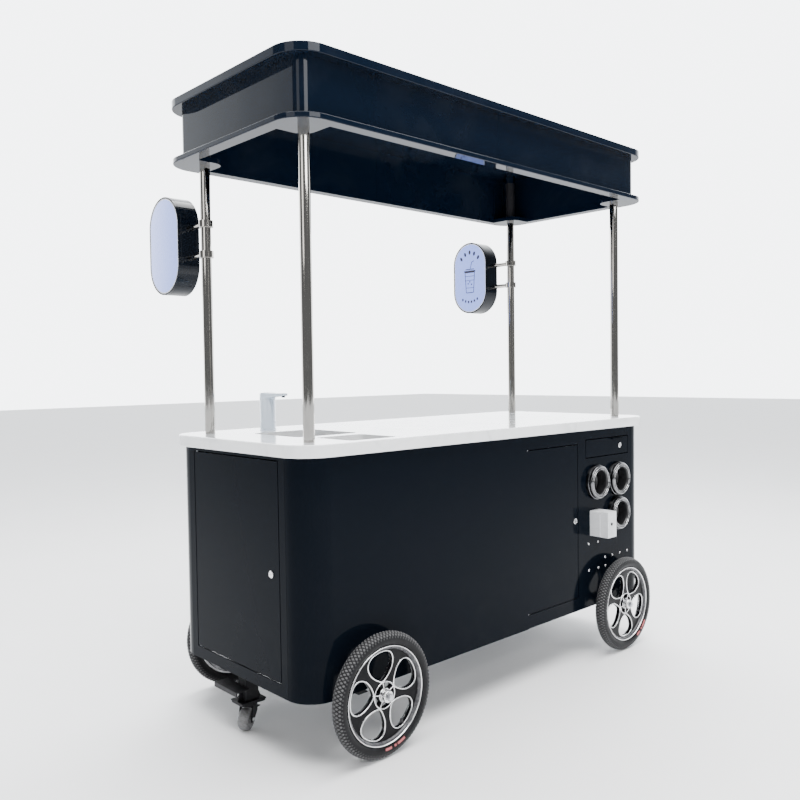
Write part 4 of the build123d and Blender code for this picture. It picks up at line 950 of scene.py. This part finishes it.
class CART_OT_body(bpy.types.Operator):
    """Body panels, doors, drawer front and the inside of the cabinet"""
    bl_idname = "cart.body"
    bl_label = "Body"

    def execute(self, context):
        dress(finish("black gloss steel"), "front_left_panel", "front_right_panel", "end_panels",
              "rear_panel", "end_door", "front_door", "drawer_front")
        dress(finish("bright chrome"), "end_door_lock", "front_door_lock", "drawer_lock")
        dress(finish("zinc plated steel"), "door_pivots", "slide_rails", "drawer_box")
        dress(finish("grey melamine board"), "inner_panels")
        dress(finish("milky tank plastic"), "water_tanks")
        dress(finish("glossy white moulding"), "waste_pipe")
        self.bolts()
        self.lock_rings()
        self.edge_gaskets()
        return {"FINISHED"}

    def bolts(self):
        """Dome heads with a six-sided key hole on the lower right panel."""
        co = vertices("panel_bolts")[:, [0, 2]]
        spots = []
        while len(co):
            near = np.linalg.norm(co - co[0], axis=1) < 0.02
            spots.append((co[near].min(0) + co[near].max(0)) / 2)
            co = co[~near]
        heads = []
        for x, z in spots:
            dome = [(0.0, 0.0012), (0.0019, 0.0012), (0.0021, 0.0031), (0.0027, 0.0033), (0.0042, 0.0026),
                    (0.0052, 0.0011), (0.0055, 0.0), (0.0055, -0.001), (0, -0.001)]
            heads.append(lathe(dome, (x, PANEL_FACE, z), (0, -1, 0), 28))
        piece("panel_bolt_heads", heads, "cart", finish("bright chrome"), ["panel_bolts"])

    def lock_rings(self):
        """Raised ring round each lock plug, and a thin black plate on the plug that paints the shade of its
        key slot.
        """
        for name, body, out in (("end_door_lock", "end_door_cam", (-1, 0, 0)),
                                ("front_door_lock", "front_door_cam", (0, -1, 0)),
                                ("drawer_lock", "drawer_cam", (0, -1, 0))):
            co = vertices(name)
            reach = co @ np.array(out, float)
            head = co[reach > reach.max() - 0.0002]
            spot = (head.min(0) + head.max(0)) / 2
            ring = [(0.0088, -0.0002), (0.0092, 0.0008), (0.0106, 0.0010), (0.0118, 0.0002),
                    (0.0121, -0.0012), (0.0105, -0.0012)]
            piece(f"{name}_ring", [closed_lathe(ring, spot, out, 48)], body, finish("bright chrome"))
            # Black plate where the key slot is: painted shade of the slot
            slot = plate([box_outline(0.0022, 0.0085, 0.0008)],
                         [(0.0, -0.001), (0.0, 0.0004), (0.0003, 0.0006)], spot, LEFT if out[0] else FRONT)
            piece(f"{name}_key_slot_shade", [slot], body, finish("black moulding"))

    def edge_gaskets(self):
        """Soft black gasket behind each door's frame, a half-round strip carried round the opening."""
        overlap, behind = 0.022, 0.0028
        strip = [(0.0, 0.0), (0.0, -0.003), (0.003, -0.0042), (0.006, -0.003), (0.006, 0.0)]
        gaskets = []
        for name, along, across, face, axes in (("end_door", 1, 0, BODY_LEFT, LEFT),
                                                ("front_door", 0, 1, PANEL_FACE, FRONT)):
            low, high = ends(name)
            spot = (low + high) / 2
            spot[across] = face + behind
            outline = box_outline(high[along] - low[along] + overlap, high[2] - low[2] + overlap, 0.012)
            gaskets.append(carry(outline, strip, spot, axes, closed=True))
        piece("door_gaskets", gaskets, "cart", finish("black moulding"))


# ---- counter, sink and tap --------------------------------------------------------------------

def squared(wave):
    """Sine or cosine pushed towards plus and minus one, which turns a circle into a rounded box."""
    return np.sign(wave) * np.abs(wave) ** 0.45


class CART_OT_counter(bpy.types.Operator):
    """Marbled counter, two pressed basins, the strainer and the tap"""
    bl_idname = "cart.counter"
    bl_label = "Counter"

    def execute(self, context):
        dress(finish("marbled counter"), "countertop")
        self.basins()
        self.tap()
        return {"FINISHED"}

    def basins(self):
        """Pressed bowls: a rounded rectangle carried down a wall that turns into the floor in a
        quarter round, and back up outside it."""
        co = vertices("sink_basins")
        bowls = []
        split = co[:, 1].min() + 0.23      # between the small basin and the sink
        for part, corner in ((co[co[:, 1] > split], 0.032), (co[co[:, 1] <= split], 0.022)):
            low, high = part.min(0), part.max(0)
            mid = (low + high) / 2
            size = high - low - 0.028
            rim, floor = high[2], low[2] + 0.0015
            turn = 0.016                   # quarter round between wall and floor
            wall = [(turn - turn * math.cos(k), floor - rim + turn - turn * math.sin(k))
                    for k in np.linspace(0, math.pi / 2, 8)[::-1]]
            rows = wall + [(0.0, -0.004), (-0.0012, -0.0012), (-0.004, 0.0), (-0.0135, 0.0),
                           (-0.0135, -0.0014), (-0.0035, -0.0014), (-0.0014, -0.004)]
            under = [(i - 0.0014 * (1 - i / turn), h - 0.0014 * (i / turn)) for i, h in wall[::-1]]
            outline = box_outline(size[0], size[1], corner, steps=10)
            bowls.append(plate([outline], rows + under, (mid[0], mid[1], rim), UP))
            if corner > 0.03:
                spot = (mid[0], mid[1], floor)
                dish = [(0, 0.0006), (0.004, 0.0006), (0.0045, 0.0012), (0.0052, 0.0006), (0.02, 0.0004),
                        (0.024, 0.0012), (0.029, 0.0022), (0.032, 0.0016), (0.0325, 0.0)]
                # Small black discs over the strainer's holes: painted shade standing in for the dark holes
                holes = [lathe([(0, 0.0011), (0.0015, 0.0011), (0.0017, 0.0007), (0, 0.0006)],
                               (spot[0] + 0.013 * math.cos(k), spot[1] + 0.013 * math.sin(k), spot[2]),
                               (0, 0, 1), 10) for k in np.linspace(0, TAU, 10, endpoint=False)]
                piece("sink_strainer", [lathe(dish + [(0, 0.0)], spot, (0, 0, 1), 64)], "cart",
                      finish("bright chrome"))
                piece("strainer_hole_shade", holes, "cart", finish("black moulding"))
        piece("sink_bowls", bowls, "cart", finish("satin sink steel"), ["sink_basins"])

    def tap(self):
        """Tap: a turned tower with a seam ring, and a swivel head whose rounded-box section shrinks
        from the tower out to the tip."""
        low, high = ends("tap_tower")
        arm_low, arm_high = ends("tap_arm")
        top_z = arm_high[2]
        spot = np.array(((low[0] + high[0]) / 2, (low[1] + high[1]) / 2, counter_high[2]))
        cap_z = counter_high[2] + 0.121
        tower = [(0, -0.001), (0.0332, -0.001), (0.0332, 0.0012), (0.032, 0.0024), (0.0302, 0.003),
                 (0.0302, 0.1165), (0.0296, 0.1175), (0.0296, 0.1185), (0.0302, 0.1195), (0.0302, 0.1204),
                 (0, 0.1204)]
        piece("tap_body", [lathe(tower, spot, (0, 0, 1), 96)], "cart", finish("glossy white moulding"),
              ["tap_tower"])
        height = top_z - cap_z
        cap = [(0, 0.0), (0.0302, 0.0), (0.0305, 0.001), (0.0305, height - 0.008), (0.0296, height - 0.0035),
               (0.027, height - 0.001), (0.0235, height - 0.0002), (0.0125, height - 0.0004),
               (0.0118, height - 0.003), (0, height - 0.003)]
        reach = spot[1] - arm_low[1]
        s = np.linspace(0, 1, 22)[:, None]
        out = 0.004 + (reach - 0.004) * s
        half_w = 0.0265 - 0.0125 * s ** 0.8
        up = height - 0.0012 - 0.001 * s
        down = np.minimum(0.001 + 0.0125 * s ** 0.7, height - 0.008)
        end = np.sqrt(np.clip(1 - ((s - 0.93) / 0.07).clip(0, 1) ** 2, 0, 1))
        half_w, mid_z, half_h = half_w * end, (up + down) / 2, (up - down) / 2 * (0.25 + 0.75 * end)
        half_h = half_h * np.where(end < 1e-6, 0, 1)
        a = np.linspace(0, TAU, 40, endpoint=False)[None, :]
        c, q = np.cos(a), np.sin(a)
        arm = stacked(half_w * squared(c), -out, mid_z + half_h * squared(q))
        arm = np.concatenate([arm[:1].mean(1, keepdims=True).repeat(40, 1), arm])
        base = np.array((spot[0], spot[1], cap_z))
        nozzle_y = arm_low[1] + 0.013
        nozzle = [(0, -0.0012), (0.0062, -0.0012), (0.0068, 0.0), (0.0068, 0.006), (0, 0.006)]
        piece("tap_head_shell", [lathe(cap, base, (0, 0, 1), 96), grid(base + arm, wrap_v=True)], "tap_head",
              finish("glossy white moulding"), ["tap_arm"], crease=50)
        piece("tap_nozzle", [lathe(nozzle, (spot[0], nozzle_y, cap_z + 0.0085), (0, 0, 1), 32)],
              "tap_head", finish("black moulding"))
        low, high = ends("tap_button")
        key = [(0, low[2] - high[2]), (0.0105, low[2] - high[2]), (0.0108, -0.0016), (0.0098, -0.0004),
               (0.006, 0.0), (0.0052, -0.0004), (0, -0.0005)]
        piece("tap_key_cap", [lathe(key, (spot[0], spot[1], high[2]), (0, 0, 1), 48)], "tap_key",
              finish("glossy white moulding"), ["tap_button"])


# ---- posts and canopy -------------------------------------------------------------------------

class CART_OT_canopy(bpy.types.Operator):
    """Posts, canopy slabs and fascia"""
    bl_idname = "cart.canopy"
    bl_label = "Canopy"

    def execute(self, context):
        dress(finish("polished stainless"), "posts", "sign_arms")
        dress(finish("black powder coat"), "post_sockets")
        dress(finish("black gloss board"), "canopy_ring", "fascia_panels", "roof_panel")
        return {"FINISHED"}


# ---- signs ------------------------------------------------------------------------------------

SIGN_DEPTH = 0.090


class CART_OT_signs(bpy.types.Operator):
    """Two double-faced lit signs; the right one shows a plain cup picture"""
    bl_idname = "cart.signs"
    bl_label = "Signs"

    def execute(self, context):
        low, high = ends("sign_casings")
        width, height = high[1] - low[1], high[2] - low[2]
        mid_y, mid_z = (low[1] + high[1]) / 2, (low[2] + high[2]) / 2
        d = SIGN_DEPTH / 2                     # half the depth, from the middle to a face
        shells, lenses, borders = [], [], []
        wall, border = 0.0058, 0.0042
        for x in (low[0] + d, high[0] - d):
            at = (x, mid_y, mid_z)
            outline = box_outline(width, height, width / 2 - 1e-4, steps=26)
            shell = mirrored([(wall, -d + 0.0005), (wall * 0.5, -d), (0.0008, -d + 0.0003),
                              (0.0, -d + 0.0014), (0.0, -d + 0.0105), (0.0005, -d + 0.011),
                              (0.0005, -d + 0.0125), (0.0, -d + 0.013)])
            shells.append(carry(outline, shell, at, RIGHT, closed=True))
            inside = box_outline(width - 2 * wall, height - 2 * wall, width / 2 - wall - 1e-4, steps=26)
            pane = wall + border
            face = box_outline(width - 2 * pane, height - 2 * pane, width / 2 - pane - 1e-4, steps=26)
            for way in (LEFT, RIGHT):
                lenses.append(plate([face], [(0.0, d - 0.006), (0.0, d - 0.0022), (0.0008, d - 0.0014),
                                             (0.0022, d - 0.0012)], at, way))
                borders.append(carry(inside, [(0.0, d - 0.006), (0.0, d - 0.0016), (0.0006, d - 0.0010),
                                              (border - 0.0008, d - 0.0010), (border - 0.0002, d - 0.0014),
                                              (border - 0.0002, d - 0.006)], at, way, closed=True))
        piece("sign_shells", shells, "cart", finish("glossy casing black"), ["sign_casings"])
        piece("sign_lenses", lenses, "cart", finish("lit opal lens"), ["sign_faces"])
        piece("sign_borders", borders, "cart", finish("satin white moulding"))
        self.picture((high[0] - SIGN_DEPTH + 0.0012, mid_y, mid_z))
        return {"FINISHED"}

    def picture(self, at):
        """Plain takeaway cup in ink lines, five beans above it and a row of dots below: each line is a
        narrow outline with a hole, each dot an ellipse."""
        ink = eased(0.0, 0.0004, 0.0001, 1)
        parts = []

        def line(points, thick=0.0042):
            path = np.array(points, float)
            t = np.linspace(0, len(path) - 1, 40)
            smooth = stacked(*(np.interp(t, range(len(path)), path[:, k]) for k in (0, 1)))
            along = np.gradient(smooth, axis=0)
            along /= np.linalg.norm(along, axis=1)[:, None]
            side = stacked(-along[:, 1], along[:, 0]) * thick / 2
            parts.append(plate([anticlockwise(np.concatenate([smooth + side, (smooth - side)[::-1]]))],
                               ink, at, LEFT))

        def dot(x, z, a, b, tilt=0.0):
            flat = spun(ring_outline(1, 28) * np.array([a, b]), tilt) + np.array((x, z))
            parts.append(plate([flat], ink, at, LEFT))

        cup = np.array([(-0.034, 0.030), (-0.026, -0.078), (0.026, -0.078), (0.034, 0.030), (-0.034, 0.030)])
        for a, b in zip(cup[:-1], cup[1:]):
            line([a, b])
        for z, half in ((0.010, 0.031), (-0.012, 0.0295), (-0.052, 0.0270)):
            line([(-half, z), (half, z)], 0.0026)
        line([(-0.040, 0.036), (0.040, 0.036)], 0.009)
        line([(-0.030, 0.047), (0.030, 0.047)], 0.0045)
        line([(0.004, 0.050), (0.014, 0.084), (0.030, 0.090)], 0.004)
        for x, z, tilt in ((-0.060, 0.106, 0.6), (-0.032, 0.128, 0.3), (0.0, 0.137, 0.0),
                           (0.032, 0.128, -0.3), (0.060, 0.106, -0.6)):
            dot(x, z, 0.0075, 0.0115, tilt)
        for k in np.linspace(-1, 1, 6):
            dot(0.052 * k, -0.128 + 0.014 * k * k, 0.0058, 0.0075)
        for x, z in ((-0.012, -0.030), (0.012, -0.034), (0.0, -0.020)):
            dot(x, z, 0.0042, 0.0042)
        piece("sign_picture", parts, "cart", finish("dark sign ink"))


# ---- front fittings ---------------------------------------------------------------------------

class CART_OT_cups(bpy.types.Operator):
    """Three cup dispensers: chrome ring darkened as a painted reflection, thin bright chrome edges as
    painted highlights, dark sleeve and sprung pusher
    """
    bl_idname = "cart.cups"
    bl_label = "Cup dispensers"

    def execute(self, context):
        bezels, sleeves, edges = [], [], []
        out = ends("cup_bezels")[0][1]
        deep = PANEL_FACE - out
        for number, name in enumerate(CUPS, start=1):
            at = centre(name)
            low, high = ends(name)
            r = (high[0] - low[0]) / 2
            spot = (at[0], PANEL_FACE, at[2])
            bezels.append(closed_lathe([
                (0.0560, -0.0005), (0.0750, -0.0005), (0.0750, 0.0125), (0.0745, 0.0140), (0.0730, 0.0148),
                (0.0722, 0.0150), (0.0722, 0.0205), (0.0720, 0.0245), (0.0708, 0.0272), (0.0690, 0.0286),
                (0.0668, deep - 0.0002), (0.0655, deep - 0.0008), (0.0646, deep - 0.0022),
                (0.0600, deep - 0.0026), (0.0590, deep - 0.0012), (0.0575, deep - 0.0006),
                (0.0560, deep - 0.0012)], spot, (0, -1, 0), 128))
            # Thin bright chrome rings at the rim and inner lip: painted highlight lines on the darkened ring
            for r_low, r_high in ((0.0648, 0.0660), (0.0557, 0.0566)):
                edges.append(closed_lathe([
                    (r_low, deep - 0.004), (r_low, deep - 0.0006), (r_low + 0.0003, deep),
                    (r_high - 0.0003, deep), (r_high, deep - 0.0006), (r_high, deep - 0.004)],
                    spot, (0, -1, 0), 128))
            sleeves.append(closed_lathe([
                (0.0506, -0.0003), (0.0558, -0.0003), (0.0558, deep - 0.0014), (0.0548, deep - 0.0018),
                (0.0520, deep - 0.0060), (0.0506, deep - 0.0130)], spot, (0, -1, 0), 96))
            push = [(0, 0.021), (r - 0.0004, 0.021), (r, 0.020), (r, 0.010), (r - 0.0035, 0.0042),
                    (r - 0.0105, 0.0008), (r - 0.0135, 0.0), (r - 0.0150, 0.0012), (0.022, 0.0030),
                    (0.0200, 0.0012), (0.0185, 0.0012), (0.0170, 0.0032), (0, 0.0040)]
            piece(f"cup_plunger_{number}", [lathe(push, (at[0], low[1], at[2]), (0, 1, 0), 96)],
                  f"cup_push_{number}", finish("black moulding"), [name])
        piece("cup_rings", bezels, "cart", finish("chrome darkened as painted reflection"), ["cup_bezels"])
        piece("cup_ring_painted_highlights", edges, "cart", finish("bright chrome"))
        piece("cup_sleeves", sleeves, "cart", finish("black moulding"))
        dress(finish("black moulding"), "cup_tubes")
        return {"FINISHED"}


class CART_OT_socket(bpy.types.Operator):
    """Weatherproof power socket with a hinged cover"""
    bl_idname = "cart.socket"
    bl_label = "Socket"

    def execute(self, context):
        low, high = ends("socket_cover")
        dress(finish("satin white moulding"), "socket_box", "socket_cover")
        mid = (low + high) / 2
        face = low[1]
        raised = [plate([box_outline(0.050, 0.076, 0.006)], [(0.0, -0.001), (0.0, 0.0006), (0.0006, 0.0012)],
                        (mid[0], face, mid[2] - 0.004), FRONT)]
        for row in np.linspace(-0.026, 0.026, 9):
            raised.append(plate([box_outline(0.040, 0.0026, 0.0012)],
                                [(0.0, 0.0), (0.0, 0.0014), (0.0005, 0.0019)],
                                (mid[0], face, mid[2] - 0.004 + row), FRONT))
        for k in range(4):
            raised.append(plate([box_outline(0.0016, 0.088, 0.0007)],
                                [(0.0, -0.0004), (0.0, 0.0), (0.0004, 0.0004)],
                                (low[0], face + 0.010 + 0.0065 * k, mid[2] - 0.004), LEFT))
        piece("socket_cover_ribs", raised, "socket_flap", finish("satin white moulding"))
        latch = [(0, 0.0044), (0.0045, 0.0044), (0.006, 0.0036), (0.0066, 0.002), (0.0066, 0.0), (0, 0.0)]
        piece("socket_latch", [lathe(latch, (mid[0] - 0.006, face, mid[2] + 0.004), (0, -1, 0), 32)],
              "socket_flap", finish("black moulding"))
        return {"FINISHED"}


# ---- stage ------------------------------------------------------------------------------------

CAMERA_SPOT = (-2.4303, -2.3765, 1.2419)       # Y counted from the middle of the counter
CAMERA_TURN = (43.16, -1.98, -0.78)            # yaw, pitch and roll in degrees

class CART_OT_stage(bpy.types.Operator):
    """Pale floor, soft studio lights and the camera"""
    bl_idname = "cart.stage"
    bl_label = "Stage"

    def execute(self, context):
        self.floor()
        self.lights()
        self.camera()
        return {"FINISHED"}

    def floor(self):
        """Floor: a flat square far wider than the cart."""
        m = Finish("pale floor", (0.86, 0.86, 0.865), 0.7)
        m.paint(base_color=m.blend(m.noise(1.4, 5), (0.87, 0.87, 0.875), (0.84, 0.84, 0.845)),
                roughness=m.spread(m.noise(5), 0.3, 0.7, 0.6, 0.8))
        u = np.linspace(-30, 30, 9)
        x, y = np.meshgrid(u, u, indexing="ij")
        verts, faces = grid(stacked(x, y, 0.0))
        mesh = bpy.data.meshes.new("floor")
        mesh.from_pydata(verts.tolist(), [], faces)
        mesh.materials.append(m.material)
        ground = bpy.data.objects.new("floor", mesh)
        bpy.context.scene.collection.objects.link(ground)

    def lights(self):
        """Broad soft lights, and an even pale surround."""
        scene = bpy.context.scene
        world = bpy.data.worlds.new("surround")
        world.use_nodes = True
        back = next(n for n in world.node_tree.nodes if n.type == "BACKGROUND")
        tree = world.node_tree
        way = tree.nodes.new("ShaderNodeTexCoord").outputs["Generated"]
        facing = tree.nodes.new("ShaderNodeVectorMath")
        facing.operation = "DOT_PRODUCT"
        facing.inputs[1].default_value = (0.62, 0.78, 0.05)
        tree.links.new(way, facing.inputs[0])
        reach = tree.nodes.new("ShaderNodeMapRange")
        reach.interpolation_type = "SMOOTHSTEP"
        for key, value in (("From Min", 0.1), ("From Max", 0.7), ("To Min", 0.22), ("To Max", 6.0)):
            reach.inputs[key].default_value = value
        tree.links.new(facing.outputs["Value"], reach.inputs["Value"])
        tree.links.new(reach.outputs[0], back.inputs[1])
        back.inputs[0].default_value = (0.94, 0.97, 1.0, 1)
        scene.world = world
        for name, spot, aim, size, power, tint in (
                ("overhead", (0.2, -0.6, 5.4), (0, 0, 0), (6.0, 5.0), 1000, (1, 1, 1)),
                ("left", (-5.2, -1.2, 3.4), (-0.5, 0, 0.8), (2.2, 2.6), 50, (1, 0.99, 0.97)),
                ("front", (-0.9, -5.6, 3.9), (0.1, 0, 0.6), (3.4, 1.8), 190, (0.98, 0.99, 1))):
            data = bpy.data.lights.new(name, "AREA")
            data.shape, data.size, data.size_y = "RECTANGLE", size[0], size[1]
            data.energy, data.color = power, tint
            lamp = bpy.data.objects.new(name, data)
            lamp.location = spot
            lamp.rotation_euler = (Vector(aim) - Vector(spot)).to_track_quat("-Z", "Y").to_euler()
            scene.collection.objects.link(lamp)

    def camera(self):
        """Camera in front of the cart's left end, a little above the counter."""
        data = bpy.data.cameras.new("camera")
        data.lens, data.sensor_width = 36.35, 36.0
        eye = bpy.data.objects.new("camera", data)
        yaw, pitch, roll = (math.radians(k) for k in CAMERA_TURN)
        x, y, z = CAMERA_SPOT
        ahead = Vector((math.sin(yaw) * math.cos(pitch), math.cos(yaw) * math.cos(pitch), math.sin(pitch)))
        right = Vector((math.cos(yaw), -math.sin(yaw), 0))
        up = right.cross(ahead)
        side = right * math.cos(roll) + up * math.sin(roll)
        top = up * math.cos(roll) - right * math.sin(roll)
        turn = Matrix((side, top, -ahead)).transposed()
        eye.matrix_world = Matrix.Translation((x, y + MID_Y, z)) @ turn.to_4x4()
        bpy.context.scene.collection.objects.link(eye)
        bpy.context.scene.camera = eye


class CART_PT_panel(bpy.types.Panel):
    """Sizes, colours and builders of the cart"""
    bl_label = "Push Vending Cart"
    bl_idname = "CART_PT_panel"
    bl_space_type = "VIEW_3D"
    bl_region_type = "UI"
    bl_category = "Cart"

    def draw(self, context):
        for group in (context.scene.cart_sizes, context.scene.cart_finish):
            box = self.layout.box()
            for key in group.__annotations__:
                box.prop(group, key)
        for builder in BUILDERS:
            self.layout.operator(builder.bl_idname)


BUILDERS = (CART_OT_tyres, CART_OT_rims, CART_OT_caster, CART_OT_body, CART_OT_counter, CART_OT_canopy,
            CART_OT_signs, CART_OT_cups, CART_OT_socket, CART_OT_stage)
CLASSES = (CartSizes, CartFinish) + BUILDERS + (CART_PT_panel,)


def register():
    """Adds the classes and the panel's settings."""
    for cls in CLASSES:
        bpy.utils.register_class(cls)
    bpy.types.Scene.cart_sizes = PointerProperty(type=CartSizes)
    bpy.types.Scene.cart_finish = PointerProperty(type=CartFinish)


def unregister():
    """Takes them away again."""
    del bpy.types.Scene.cart_finish
    del bpy.types.Scene.cart_sizes
    for cls in reversed(CLASSES):
        bpy.utils.unregister_class(cls)


def main():
    """Builds every group."""
    register()
    for builder in BUILDERS:
        group, name = builder.bl_idname.split(".")
        getattr(getattr(bpy.ops, group), name)()


if __name__ == "__main__":
    main()
